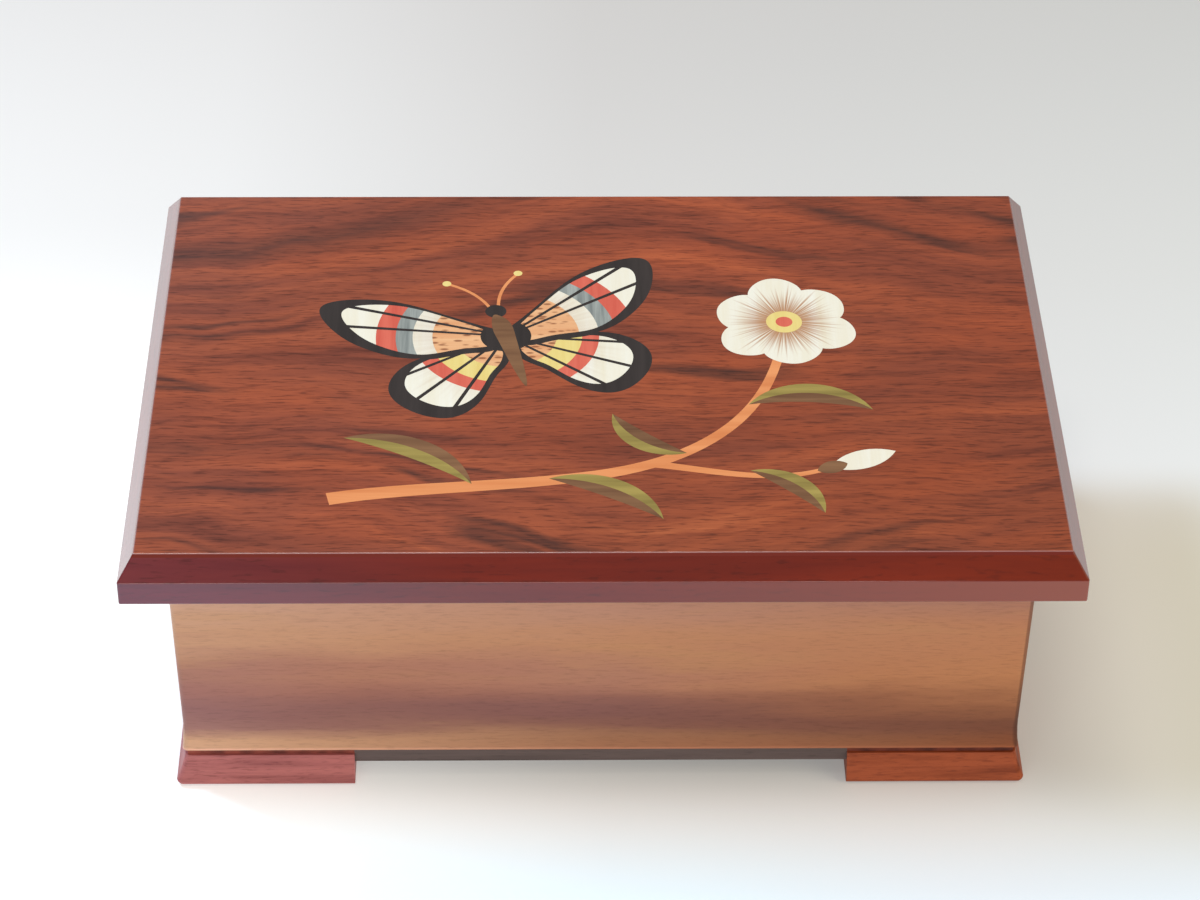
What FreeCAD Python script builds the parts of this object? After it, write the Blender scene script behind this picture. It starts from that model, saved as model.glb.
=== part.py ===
"""A wind-up music box: a mitred veneered case on four bracket feet, a bevelled lid with a wood
inlay picture, and an eighteen-note clockwork movement under a clear pane.

Millimetres. +X is to the right, +Y to the back and +Z up. The origin is on the table, under the
middle of the box. Every separate piece is written to parts/NODE.step.
"""
import FreeCAD, Part
import math
import os
from FreeCAD import Placement, Rotation, Vector

# ---------------------------------------------------------------- case and lid, driving sizes
LID_WIDTH = 160.0
LID_DEPTH = 108.5
LID_EDGE = 4.55            # upright edge of the lid, below the bevel
BEVEL_RUN = 2.8            # how far the bevel goes in
BEVEL_DROP = 4.2           # how far the bevel goes down
LID_ARRIS = 0.35           # rounding of every edge of the lid
EDGING_WIDTH = 9.0         # solid edging round the core board
VENEER = 0.6               # face veneer of the lid, and the inlay cut into it
LINING = 0.8               # velvet-covered card under the lid
LINING_GAP = 2.0           # lining inside the walls
OVERHANG = 7.8             # lid past the walls, front and back
SIDE_OVERHANG = 7.1        # and at the sides
WALL_HEIGHT = 40.4
WALL = 7.5                 # wall thickness at the rim
WAIST_INSET = 0.6          # the walls draw in to a waist near the bottom
WAIST_HEIGHT = 6.5         # of the waist above the bottom of the wall
COVE_FLARE = 0.35          # the cove under the waist comes out again
WALL_CORNER = 1.0          # rounding of the upright corners
FOOT_HEIGHT = 7.4          # table to the bottom of the walls
FOOT_DROP = 1.5            # top of the foot below the wall, where the board's edge shows
FOOT_LENGTH = 30.0         # of each arm of a foot, from the corner of the wall
FOOT_THICK = 8.0
FOOT_SETBACK = 0.35        # top of the foot inside the bottom edge of the wall
FOOT_FLARE = 1.65          # the foot's toe past its top
FOOT_TOE = 1.1             # rounding of the toe
BOARD = 3.4                # bottom board
BOARD_SETBACK = 0.8        # of the board's edge from the wall's face

# ---------------------------------------------------------------- inlay picture
PICTURE_WIDTH = 100.0      # the picture is drawn on a grid 100 units wide
BUTTERFLY = (-16.0, 6.0, 14.0)             # its middle on the grid, and how far it is turned
FLOWER = (33.0, 12.0)

# ---------------------------------------------------------------- inside of the case
PARTITION = 4.0
PARTITION_DROP = 4.0       # top of the partition below the rim
CLEAT = 3.0                # square strips that carry the pane
PANE = 1.5
PANE_DROP = 11.25          # top of the pane below the rim
PANE_GAP = 0.3             # pane to the walls
LINER = 1.5                # velvet-covered card on the tray's walls
LINER_DROP = 3.0           # top of the liners below the rim
PAD = 2.5                  # padded floor of the tray
PAD_GAP = 0.3

# ---------------------------------------------------------------- lid hinges
HINGE_LENGTH = 24.0
HINGE_SPAN = 84.0          # between the middles of the two hinges
HINGE_LEAF = 0.9
LEAF_GAP = 0.1             # between each leaf and the joint line
LEAF_REACH = 7.6           # from the pin to the front edge of the leaf
KNUCKLE_RADIUS = 1.5
KNUCKLES = 5
KNUCKLE_GAP = 0.12
KNUCKLE_CLEAR = 0.2        # knuckle to the back of the case, and to the slot in the lid
PIN_RADIUS = 0.7
PIN_FIT = 0.05
PIN_PROUD = 0.2            # pin past each end of the knuckles

# ---------------------------------------------------------------- screws
WOOD_SCREW = 0.7           # shank radius of the hinge and guide screws
WOOD_HEAD = 1.25
WOOD_SCREW_LENGTH = 5.0
METAL_SCREW = 0.9          # shank radius of the screws in the movement
METAL_HEAD = 1.7
METAL_HEAD_HEIGHT = 1.1
MOUNT_SCREW = 1.4          # shank radius of the screws that hold the movement down
MOUNT_HEAD = 2.7
MOUNT_HEAD_HEIGHT = 1.5
SLOT = 0.4                 # width of a screwdriver slot
SCREW_FIT = 0.03

# ---------------------------------------------------------------- movement
BED_WIDTH = 54.0
BED_DEPTH = 44.0
BED = 3.0
BED_CORNER = 3.0
BAY_SIDE_GAP = 0.7         # bedplate to the left wall
BAY_INNER_GAP = 3.3        # bedplate to the partition
BAY_BACK_GAP = 17.0        # bedplate to the back wall
AXIS_BACK = 6.0            # cylinder axis behind the middle of the bedplate
DRIVE_MODULE = 0.4
CROWN_TEETH = 60
DRIVE_PINION_TEETH = 12
CROWN_FACE = 2.2           # radial length of the crown teeth
PINION_FACE = 2.0
BARREL_WALL = 0.8
BARREL_LIFT = 0.6          # barrel above the bedplate
BARREL_MARGIN = 1.0        # barrel inside the left edge of the bedplate
COVER = 1.1
ARBOR_RADIUS = 2.0
ARBOR_HUB = 3.0
ARBOR_PIVOT = 1.1
ARBOR_THREAD = 1.5
RUN_FIT = 0.05             # radial running clearance
END_FIT = 0.15             # running clearance along an axle
SPRING_STRIP = 0.28
SPRING_TURNS = 5
CYLINDER_RADIUS = 6.35
CYLINDER_TUBE = 0.7
CYLINDER_CLEAR = 3.2       # pins above the bedplate
CYLINDER_GAP = 1.7         # cylinder to the barrel
WHEEL_GAP = 0.5            # cylinder to the toothed wheel on its end
PLATE_GAP = 0.6            # toothed wheels to the plates of the governor frame
FRAME_PROUD = 0.2          # governor frame past the right edge of the bedplate
AXLE = 0.9
PIN_OUT = 0.8              # tune pins stand out of the cylinder
TUNE_PIN = 0.16
NOTES = 18
COMB_PLATE = 0.9
COMB_TIP_GAP = 0.06
COMB_SLOT = 0.24
COMB_LONG = 14.0           # lowest note
COMB_SHORT = 9.5           # highest note
COMB_ROOT = 6.5
BRIDGE = 1.6
BRIDGE_WIDTH = 7.0
POST_RADIUS = 2.2
GEAR_MODULE = 0.35
WHEEL_TEETH = 36
GOVERNOR_PINION_TEETH = 12
GOVERNOR_TEETH = 24
WHEEL_FACE = 1.0
GOVERNOR_DIP = 15.0        # degrees, governor arbor below the cylinder axis
FRAME_PLATE = 1.0
WORM_PITCH_RADIUS = 1.5
WORM_LENGTH = 4.6
FAN_RADIUS = 3.9
FAN_HEIGHT = 4.2
FAN_SHEET = 0.25
PRESSURE_ANGLE = math.radians(20.0)
BACKLASH = 0.09

# ---------------------------------------------------------------- winding key and its well
KEY_WELL = 13.0            # radius of the hole in the bottom board
KEY_SPAN = 21.0
KEY_WING = 1.8
KEY_HEIGHT = 5.0
KEY_HUB = 3.4
KEY_GROUND = 0.9           # key above the table

# ---------------------------------------------------------------- stop rod
ROD_RADIUS = 0.6
ROD_LID_GAP = 0.2
GUIDE_SHEET = 1.0
ROD_ASIDE = 1.85           # rod to the right of the fan's spindle
ROD_BEHIND = 4.0           # rod behind its hook's end
GUIDE_HEIGHT = 19.0
GUIDE_DEPTH = 10.0
EAR_DEPTH = 5.0
COLLAR = 0.8
COLLAR_RADIUS = 1.7
COIL_WIRE = 0.17
COIL_RADIUS = 1.25
COIL_TURNS = 6
HOOK_GAP = 0.35            # hook to the circle that the fan sweeps

# ---------------------------------------------------------------- places worked out from the sizes
HALF_W = LID_WIDTH / 2 - SIDE_OVERHANG     # walls at the rim
HALF_D = LID_DEPTH / 2 - OVERHANG
IN_W = HALF_W - WALL
IN_D = HALF_D - WALL
FLOOR = FOOT_HEIGHT                        # top of the bottom board
FOOT_TOP = FOOT_HEIGHT - FOOT_DROP
RIM = FOOT_HEIGHT + WALL_HEIGHT
LID_TOP = RIM + LID_EDGE + BEVEL_DROP
GRID = PICTURE_WIDTH / 100
HINGE_Y = HALF_D + KNUCKLE_RADIUS + KNUCKLE_CLEAR
BOARD_W = HALF_W - WAIST_INSET + COVE_FLARE - BOARD_SETBACK
BOARD_D = HALF_D - WAIST_INSET + COVE_FLARE - BOARD_SETBACK
PART_LEFT = -IN_W + BAY_SIDE_GAP + BED_WIDTH + BAY_INNER_GAP
TRAY_LEFT = PART_LEFT + PARTITION
PANE_TOP = RIM - PANE_DROP

MOVE_X = -IN_W + BAY_SIDE_GAP + BED_WIDTH / 2
BED_TOP = FLOOR + BED
MOVE_Y = IN_D - BAY_BACK_GAP - BED_DEPTH / 2
AXIS_Y = MOVE_Y + AXIS_BACK
CROWN_RADIUS = CROWN_TEETH * DRIVE_MODULE / 2
BARREL_RADIUS = CROWN_RADIUS + CROWN_FACE / 2
DRIVE_PINION_RADIUS = DRIVE_PINION_TEETH * DRIVE_MODULE / 2
BARREL_X = MOVE_X - BED_WIDTH / 2 + BARREL_MARGIN + BARREL_RADIUS
AXIS_Z = BED_TOP + CYLINDER_CLEAR + PIN_OUT + CYLINDER_RADIUS
CROWN_PITCH_Z = AXIS_Z - DRIVE_PINION_RADIUS
CROWN_ROOT_Z = CROWN_PITCH_Z - 1.25 * DRIVE_MODULE
BARREL_Z = BED_TOP + BARREL_LIFT
PINION_X = BARREL_X + CROWN_RADIUS
CYLINDER_X = BARREL_X + BARREL_RADIUS + CYLINDER_GAP
OUTER_X = MOVE_X + BED_WIDTH / 2 + FRAME_PROUD - FRAME_PLATE     # outer plate of the governor frame
GOV_WHEEL_X = OUTER_X - PLATE_GAP - WHEEL_FACE
PLATE_X = GOV_WHEEL_X - PLATE_GAP - FRAME_PLATE                  # inner plate of the governor frame
WHEEL_X = PLATE_X - PLATE_GAP - WHEEL_FACE                       # toothed wheel on the cylinder's end
CYLINDER_END = WHEEL_X - WHEEL_GAP
CYLINDER_LENGTH = CYLINDER_END - CYLINDER_X                      # what the bedplate leaves between them
WHEEL_RADIUS = WHEEL_TEETH * GEAR_MODULE / 2
GOV_PINION_RADIUS = GOVERNOR_PINION_TEETH * GEAR_MODULE / 2
GOV_WHEEL_RADIUS = GOVERNOR_TEETH * GEAR_MODULE / 2
GOV_DIP = math.radians(GOVERNOR_DIP)
GOV_Y = AXIS_Y + (WHEEL_RADIUS + GOV_PINION_RADIUS) * math.cos(GOV_DIP)
GOV_Z = AXIS_Z - (WHEEL_RADIUS + GOV_PINION_RADIUS) * math.sin(GOV_DIP)
WORM_X = GOV_WHEEL_X + WHEEL_FACE / 2
WORM_Y = GOV_Y + GOV_WHEEL_RADIUS + WORM_PITCH_RADIUS
FAN_Z = GOV_Z + GOV_WHEEL_RADIUS + GEAR_MODULE + 0.6
FRAME_TOP = FAN_Z + FAN_HEIGHT + 0.6
ROD_X = WORM_X + ROD_ASIDE
ROD_Y = WORM_Y + FAN_RADIUS + HOOK_GAP + ROD_BEHIND
HOOK_Z = FAN_Z + FAN_HEIGHT - ROD_RADIUS
OUT = "parts"
FAR = 400.0


# ---------------------------------------------------------------- small helpers
def box(x0, x1, y0, y1, z0, z1):
    return Part.makeBox(x1 - x0, y1 - y0, z1 - z0, Vector(x0, y0, z0))


def rod(radius, start, end):
    """A round bar between two points."""
    along = Vector(*end) - Vector(*start)
    return Part.makeCylinder(radius, along.Length, Vector(*start), along)


def prism(points, z0, z1):
    """A polygon in plan, raised from z0 to z1."""
    wire = Part.makePolygon([Vector(x, y, z0) for x, y in points + points[:1]])
    return Part.Face(wire).extrude(Vector(0, 0, z1 - z0))


def rounded_plate(x0, x1, y0, y1, z0, z1, radius):
    plate = box(x0, x1, y0, y1, z0, z1)
    upright = [e for e in plate.Edges if abs(e.Vertexes[0].Z - e.Vertexes[1].Z) > 1e-6]
    return plate.makeFillet(radius, upright)


def fused(first, *others):
    return first.fuse(list(others)).removeSplitter() if others else first


def place(shape, x, y, z, axis=(0, 0, 1), angle=0.0):
    """A copy turned about the origin and then moved."""
    moved = shape.copy()
    moved.Placement = Placement(Vector(x, y, z), Rotation(Vector(*axis), angle)).multiply(moved.Placement)
    return moved


def solids_of(shapes):
    return [s for shape in shapes for s in shape.Solids]


def write(name, *shapes):
    Part.makeCompound(solids_of(shapes)).exportStep(os.path.join(OUT, name + ".step"))


def slotted_screw(radius, length, head_radius, head_height, countersunk=False):
    """A screw that points down -Z, with the underside of its head (or the top, if countersunk) at z = 0."""
    if countersunk:
        head = Part.makeCone(radius, head_radius, head_height, Vector(0, 0, -head_height))
        top = 0.0
    else:
        head = Part.makeCylinder(head_radius, head_height)
        head = head.makeFillet(head_height * 0.3, [e for e in head.Edges if e.BoundBox.ZMin > head_height - 1e-6])
        top = head_height
    shank = Part.makeCylinder(radius, length, Vector(0, 0, -length))
    slot = box(-head_radius, head_radius, -SLOT / 2, SLOT / 2, top - head_height * 0.45, top + 1)
    return fused(head, shank).cut(slot)


def countersink(radius, length, head_radius, head_height):
    """What a countersunk screw needs cut out, pointing down -Z from z = 0."""
    cone = Part.makeCone(radius + SCREW_FIT, head_radius + SCREW_FIT, head_height, Vector(0, 0, -head_height))
    hole = Part.makeCylinder(radius + SCREW_FIT, length + SCREW_FIT, Vector(0, 0, -length - SCREW_FIT))
    return cone.fuse(hole)


# ---------------------------------------------------------------- case: a shaped block, sawn apart
def side_outline(half, points_up):
    """A face in the XZ plane: the right-hand outline, mirrored for the left, closed at top and bottom."""
    right = points_up(half)
    edges = list(right)
    mirrored = [e.mirror(Vector(0, 0, 0), Vector(1, 0, 0)) for e in right]
    ends = sorted([v.Point for e in right for v in e.Vertexes], key=lambda p: p.z)
    low, high = ends[0], ends[-1]
    edges += mirrored
    edges.append(Part.makeLine(Vector(-low.x, 0, low.z), low))
    edges.append(Part.makeLine(Vector(-high.x, 0, high.z), high))
    return Part.Face(Part.Wire(Part.__sortEdges__(edges)))


def shaped_block(half_w, half_d, points_up):
    """A block with the same outline on all four sides, mitred at the corners."""
    across = side_outline(half_w, points_up)
    across.translate(Vector(0, -FAR / 2, 0))
    along = side_outline(half_d, points_up)
    along.rotate(Vector(0, 0, 0), Vector(0, 0, 1), 90)
    along.translate(Vector(FAR / 2, 0, 0))
    return across.extrude(Vector(0, FAR, 0)).common(along.extrude(Vector(-FAR, 0, 0)))


def rounded_corners(block, radius):
    """Rounds the four upright corner edges of a shaped block."""
    corner = [
        e for e in block.Edges
        if abs(e.Vertexes[0].Z - e.Vertexes[-1].Z) > 0.5
    ]
    return block.makeFillet(radius, corner)


def wall_outline(half):
    """Down the wall: a slight taper to the waist, then a cove that comes out again."""
    waist = Vector(half - WAIST_INSET, 0, FLOOR + WAIST_HEIGHT)
    bottom = Vector(half - WAIST_INSET + COVE_FLARE, 0, FLOOR)
    lean = math.atan2(WAIST_INSET, WALL_HEIGHT - WAIST_HEIGHT)
    normal = Vector(math.cos(lean), 0, -math.sin(lean))
    chord = bottom - waist
    radius = chord.dot(chord) / (2 * chord.dot(normal))
    centre = waist + normal * radius
    middle = (waist + bottom) * 0.5 - centre
    middle = centre + middle.normalize() * radius
    return [
        Part.makeLine(Vector(half, 0, RIM), waist),
        Part.Arc(waist, middle, bottom).toShape(),
    ]


def foot_outline(half):
    """Down the foot: on from the wall's cove, out to the toe, and round under it."""
    top = half - WAIST_INSET + COVE_FLARE - FOOT_SETBACK
    toe = top + FOOT_FLARE
    out = Vector(toe, 0, FOOT_TOE)
    return [
        Part.Arc(
            Vector(top, 0, FOOT_TOP),
            Vector(top + FOOT_FLARE * 0.42, 0, (FOOT_TOP + FOOT_TOE) / 2),
            out,
        ).toShape(),
        Part.Arc(
            out,
            Vector(toe - FOOT_TOE * (1 - math.sqrt(0.5)), 0, FOOT_TOE * (1 - math.sqrt(0.5))),
            Vector(toe - FOOT_TOE, 0, 0),
        ).toShape(),
    ]


def lid_outline(half):
    return [
        Part.makeLine(Vector(half, 0, RIM), Vector(half, 0, RIM + LID_EDGE)),
        Part.makeLine(Vector(half, 0, RIM + LID_EDGE), Vector(half - BEVEL_RUN, 0, LID_TOP)),
    ]


def mitre_regions(half_w, half_d, reach):
    """Four plan regions, cut at 45 degrees through the corners: front, back, left, right."""
    spill = 12.0
    front = [
        (-half_w - spill, -half_d - spill), (half_w + spill, -half_d - spill),
        (half_w - reach, -half_d + reach), (-half_w + reach, -half_d + reach),
    ]
    right = [
        (half_w + spill, -half_d - spill), (half_w + spill, half_d + spill),
        (half_w - reach, half_d - reach), (half_w - reach, -half_d + reach),
    ]
    flip = lambda points: [(-x, -y) for x, y in points]
    regions = {"front": front, "back": flip(front), "left": flip(right), "right": right}
    return {side: prism(points, -1.0, LID_TOP + 1.0) for side, points in regions.items()}


def hinge_middles():
    return [-HINGE_SPAN / 2, HINGE_SPAN / 2]


def leaf_screws():
    """Plan places of the screws in both leaves."""
    inset = HINGE_LENGTH / 4
    back = HINGE_Y - (LEAF_REACH + KNUCKLE_RADIUS) / 2
    return [(x + side * inset, back) for x in hinge_middles() for side in (-1, 1)]


def case_walls():
    block = rounded_corners(shaped_block(HALF_W, HALF_D, wall_outline), WALL_CORNER)
    shell = block.cut(box(-IN_W, IN_W, -IN_D, IN_D, FLOOR - 1, RIM + 1))
    for x in hinge_middles():
        half = HINGE_LENGTH / 2 + SCREW_FIT
        shell = shell.cut(box(x - half, x + half, HINGE_Y - LEAF_REACH - SCREW_FIT, HALF_D + 1,
                              RIM - LEAF_GAP - HINGE_LEAF, RIM + 1))
    for x, y in leaf_screws():
        shell = shell.cut(place(countersink(WOOD_SCREW, WOOD_SCREW_LENGTH, WOOD_HEAD, HINGE_LEAF),
                                x, y, RIM - LEAF_GAP))
    for side, region in mitre_regions(HALF_W, HALF_D, WALL + 1.0).items():
        write(side + "_wall", shell.common(region))


def bottom_board():
    board = box(-BOARD_W, BOARD_W, -BOARD_D, BOARD_D, FLOOR - BOARD, FLOOR)
    board = board.cut(rod(KEY_WELL, (BARREL_X, AXIS_Y, 0), (BARREL_X, AXIS_Y, FLOOR + 1)))
    for x, y in mount_screws():
        board = board.cut(rod(MOUNT_SCREW + SCREW_FIT, (x, y, 0), (x, y, FLOOR + 1)))
    write("bottom_board", board)


def feet():
    block = rounded_corners(shaped_block(HALF_W, HALF_D, foot_outline), WALL_CORNER)
    block = block.cut(box(-BOARD_W, BOARD_W, -BOARD_D, BOARD_D, FLOOR - BOARD, FLOOR + 1))
    reach = FOOT_THICK
    regions = mitre_regions(HALF_W, HALF_D, reach + 0.001)
    toe = FOOT_FLARE + 1.0
    for y_name, y_sign in (("front", -1), ("back", 1)):
        for x_name, x_sign in (("left", -1), ("right", 1)):
            x_out = x_sign * (HALF_W + toe)
            y_out = y_sign * (HALF_D + toe)
            x_far = x_sign * (HALF_W - FOOT_LENGTH)
            y_far = y_sign * (HALF_D - FOOT_LENGTH)
            x_near = x_sign * (HALF_W - reach)
            y_near = y_sign * (HALF_D - reach)
            arm_x = prism([(x_far, y_out), (x_out, y_out), (x_out, y_near), (x_far, y_near)], -1, FLOOR)
            arm_y = prism([(x_out, y_far), (x_out, y_out), (x_near, y_out), (x_near, y_far)], -1, FLOOR)
            write("foot_%s_%s" % (y_name, x_name),
                  block.common(arm_x).common(regions[y_name]),
                  block.common(arm_y).common(regions[x_name]))


# ---------------------------------------------------------------- inside of the case
def fittings():
    divider = box(PART_LEFT, TRAY_LEFT, -IN_D, IN_D, FLOOR, RIM - PARTITION_DROP)
    for y, z in guide_screws():
        divider = divider.cut(rod(WOOD_SCREW + SCREW_FIT, (PART_LEFT - 1, y, z),
                                  (PART_LEFT + PARTITION * 0.75 + SCREW_FIT, y, z)))
    write("partition", divider)
    top = PANE_TOP - PANE
    write("pane_cleats",
          box(-IN_W, PART_LEFT, -IN_D, -IN_D + CLEAT, top - CLEAT, top),
          box(-IN_W, PART_LEFT, IN_D - CLEAT, IN_D, top - CLEAT, top))
    pane = box(-IN_W + PANE_GAP, PART_LEFT - PANE_GAP, -IN_D + PANE_GAP, IN_D - PANE_GAP, top, PANE_TOP)
    write("clear_pane", pane.cut(rod(ROD_RADIUS * 2.5, (ROD_X, ROD_Y, top - 1), (ROD_X, ROD_Y, RIM))))

    low, high = FLOOR, RIM - LINER_DROP
    tray_high = RIM - PARTITION_DROP
    write("tray_liners",
          box(TRAY_LEFT, IN_W, -IN_D, -IN_D + LINER, low, high),
          box(TRAY_LEFT, IN_W, IN_D - LINER, IN_D, low, high),
          box(TRAY_LEFT, TRAY_LEFT + LINER, -IN_D + LINER, IN_D - LINER, low, tray_high),
          box(IN_W - LINER, IN_W, -IN_D + LINER, IN_D - LINER, low, high))
    write("tray_pad", box(TRAY_LEFT + LINER + PAD_GAP, IN_W - LINER - PAD_GAP,
                          -IN_D + LINER + PAD_GAP, IN_D - LINER - PAD_GAP, FLOOR, FLOOR + PAD))


# ---------------------------------------------------------------- hinges
def hinges():
    pitch = HINGE_LENGTH / KNUCKLES
    lower, upper, pins = [], [], []
    for x in hinge_middles():
        x0, x1 = x - HINGE_LENGTH / 2, x + HINGE_LENGTH / 2
        front, back = HINGE_Y - LEAF_REACH, HINGE_Y
        leaves = {
            0: box(x0, x1, front, back, RIM - LEAF_GAP - HINGE_LEAF, RIM - LEAF_GAP),
            1: box(x0, x1, front, back, RIM + LEAF_GAP, RIM + LEAF_GAP + HINGE_LEAF),
        }
        for n in range(KNUCKLES):
            a, b = x0 + n * pitch, x0 + (n + 1) * pitch
            owner, other = n % 2, 1 - n % 2
            leaves[owner] = leaves[owner].fuse(
                rod(KNUCKLE_RADIUS, (a + KNUCKLE_GAP / 2, HINGE_Y, RIM), (b - KNUCKLE_GAP / 2, HINGE_Y, RIM)))
            leaves[other] = leaves[other].cut(
                rod(KNUCKLE_RADIUS + KNUCKLE_CLEAR / 2, (a - KNUCKLE_GAP / 2, HINGE_Y, RIM),
                    (b + KNUCKLE_GAP / 2, HINGE_Y, RIM)))
        hole = rod(PIN_RADIUS + PIN_FIT, (x0 - 1, HINGE_Y, RIM), (x1 + 1, HINGE_Y, RIM))
        lower.append(leaves[0].cut(hole))
        upper.append(leaves[1].cut(hole))
        pins.append(rod(PIN_RADIUS, (x0 - PIN_PROUD, HINGE_Y, RIM), (x1 + PIN_PROUD, HINGE_Y, RIM)))
    down = countersink(WOOD_SCREW, WOOD_SCREW_LENGTH, WOOD_HEAD, HINGE_LEAF)
    for x, y in leaf_screws():
        lower = [leaf.cut(place(down, x, y, RIM - LEAF_GAP)) for leaf in lower]
        upper = [leaf.cut(place(down, x, y, RIM + LEAF_GAP, (1, 0, 0), 180)) for leaf in upper]
    write("hinge_lower_leaves", *lower)
    write("hinge_upper_leaves", *upper)
    write("hinge_pins", *pins)


# ---------------------------------------------------------------- lid
def lid_blank():
    blank = shaped_block(LID_WIDTH / 2, LID_DEPTH / 2, lid_outline)
    return blank.makeFillet(LID_ARRIS, blank.Edges)


def hinge_mortises():
    """What the upper leaves and the knuckles need cut out of the lid's underside."""
    parts = []
    reach = KNUCKLE_RADIUS + KNUCKLE_CLEAR
    for x in hinge_middles():
        half = HINGE_LENGTH / 2
        parts.append(box(x - half - SCREW_FIT, x + half + SCREW_FIT, HINGE_Y - LEAF_REACH - SCREW_FIT,
                         HINGE_Y + reach, RIM - 1, RIM + LEAF_GAP + HINGE_LEAF))
        parts.append(box(x - half - PIN_PROUD - 0.1, x + half + PIN_PROUD + 0.1, HINGE_Y - reach,
                         HINGE_Y + reach, RIM - 1, RIM + reach))
    hole = countersink(WOOD_SCREW, WOOD_SCREW_LENGTH, WOOD_HEAD, HINGE_LEAF)
    for x, y in leaf_screws():
        parts.append(place(hole, x, y, RIM + LEAF_GAP, (1, 0, 0), 180))
    return parts


def lid_boards():
    blank = lid_blank()
    under = LID_TOP - VENEER
    w, d = LID_WIDTH / 2 - EDGING_WIDTH, LID_DEPTH / 2 - EDGING_WIDTH
    core = box(-w, w, -d, d, RIM, under)
    mortises = Part.makeCompound(hinge_mortises())
    write("lid_core", core.cut(mortises))
    below = blank.common(box(-FAR, FAR, -FAR, FAR, 0, under)).cut(core).cut(mortises)
    for side, region in mitre_regions(LID_WIDTH / 2, LID_DEPTH / 2, EDGING_WIDTH).items():
        write("lid_edging_" + side, below.common(region))
    write("lid_lining", box(-IN_W + LINING_GAP, IN_W - LINING_GAP, -IN_D + LINING_GAP, IN_D - LINING_GAP,
                            RIM - LINING, RIM))
    return blank.common(box(-FAR, FAR, -FAR, FAR, under, RIM + FAR))


# ---------------------------------------------------------------- inlay picture: flat shapes on the lid
def spot(x, y):
    """A point of the picture, from its grid."""
    return Vector(x * GRID, y * GRID, 0)


def smooth_loop(points):
    """The face inside a smooth closed curve through the points."""
    curve = Part.BSplineCurve()
    curve.interpolate([spot(x, y) for x, y in points], PeriodicFlag=True)
    return Part.Face(Part.Wire(curve.toShape()))


def disc(x, y, radius):
    return Part.Face(Part.Wire(Part.makeCircle(radius * GRID, spot(x, y))))


def leaf_half(base, tip, bulge, width):
    """One half of a leaf, between its curved rib and its edge. The rib bulges to the left of base to tip."""
    a, b = spot(*base), spot(*tip)
    along = b - a
    side = Vector(-along.y, along.x, 0).normalize() * GRID
    middle = (a + b) * 0.5
    rib = Part.Arc(a, middle + side * bulge, b).toShape() if bulge else Part.makeLine(a, b)
    edge = Part.Arc(b, middle + side * (bulge + width), a).toShape()
    return Part.Face(Part.Wire([rib, edge]))


def stalk(points, width_start, width_end):
    """A tapering band along a smooth curve through the points."""
    line = Part.BSplineCurve()
    line.interpolate([spot(x, y) for x, y in points])
    first, last = line.FirstParameter, line.LastParameter
    count = 4 * len(points)
    sides = ([], [])
    for n in range(count + 1):
        t = first + (last - first) * n / count
        along = line.tangent(t)[0]
        out = Vector(-along.y, along.x, 0) * (width_start + (width_end - width_start) * n / count) * GRID / 2
        sides[0].append(line.value(t) + out)
        sides[1].append(line.value(t) - out)
    edges = []
    for side in sides:
        curve = Part.BSplineCurve()
        curve.interpolate(side)
        edges.append(curve.toShape())
    ends = [Part.makeLine(sides[0][n], sides[1][n]) for n in (0, -1)]
    return Part.Face(Part.Wire(Part.__sortEdges__(edges + ends)))


def petal(length, width):
    """A petal from the origin along +Y, rounded at the end."""
    return smooth_loop([(0, 0), (width * 0.38, length * 0.35), (width * 0.5, length * 0.72), (width * 0.14, length),
                        (-width * 0.14, length), (-width * 0.5, length * 0.72), (-width * 0.38, length * 0.35)])


def moved(face, x, y, angle=0.0):
    return place(face, x * GRID, y * GRID, 0, (0, 0, 1), angle)


def mirror_x(face):
    return face.mirror(Vector(0, 0, 0), Vector(1, 0, 0))


def plain(wood, face):
    """A layer of one piece."""
    return [(wood, face)], [face]


def layers_moved(layers, x, y, angle=0.0):
    return [([(wood, moved(face, x, y, angle)) for wood, face in pieces],
             [moved(face, x, y, angle) for face in outlines]) for pieces, outlines in layers]


def scaled(face, factor, x, y):
    grow = FreeCAD.Matrix()
    grow.move(spot(-x, -y))
    grow.scale(factor, factor, 1)
    grow.move(spot(x, y))
    return face.transformGeometry(grow)


def ring_cells(shape, root, steps):
    """Cuts a wing's field into rings round its root; steps are (wood, outer radius)."""
    cells, inside = [], None
    for wood, radius in steps:
        area = disc(root[0], root[1], radius)
        cells.append((wood, shape.common(area if inside is None else area.cut(inside))))
        inside = area
    return cells


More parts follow.
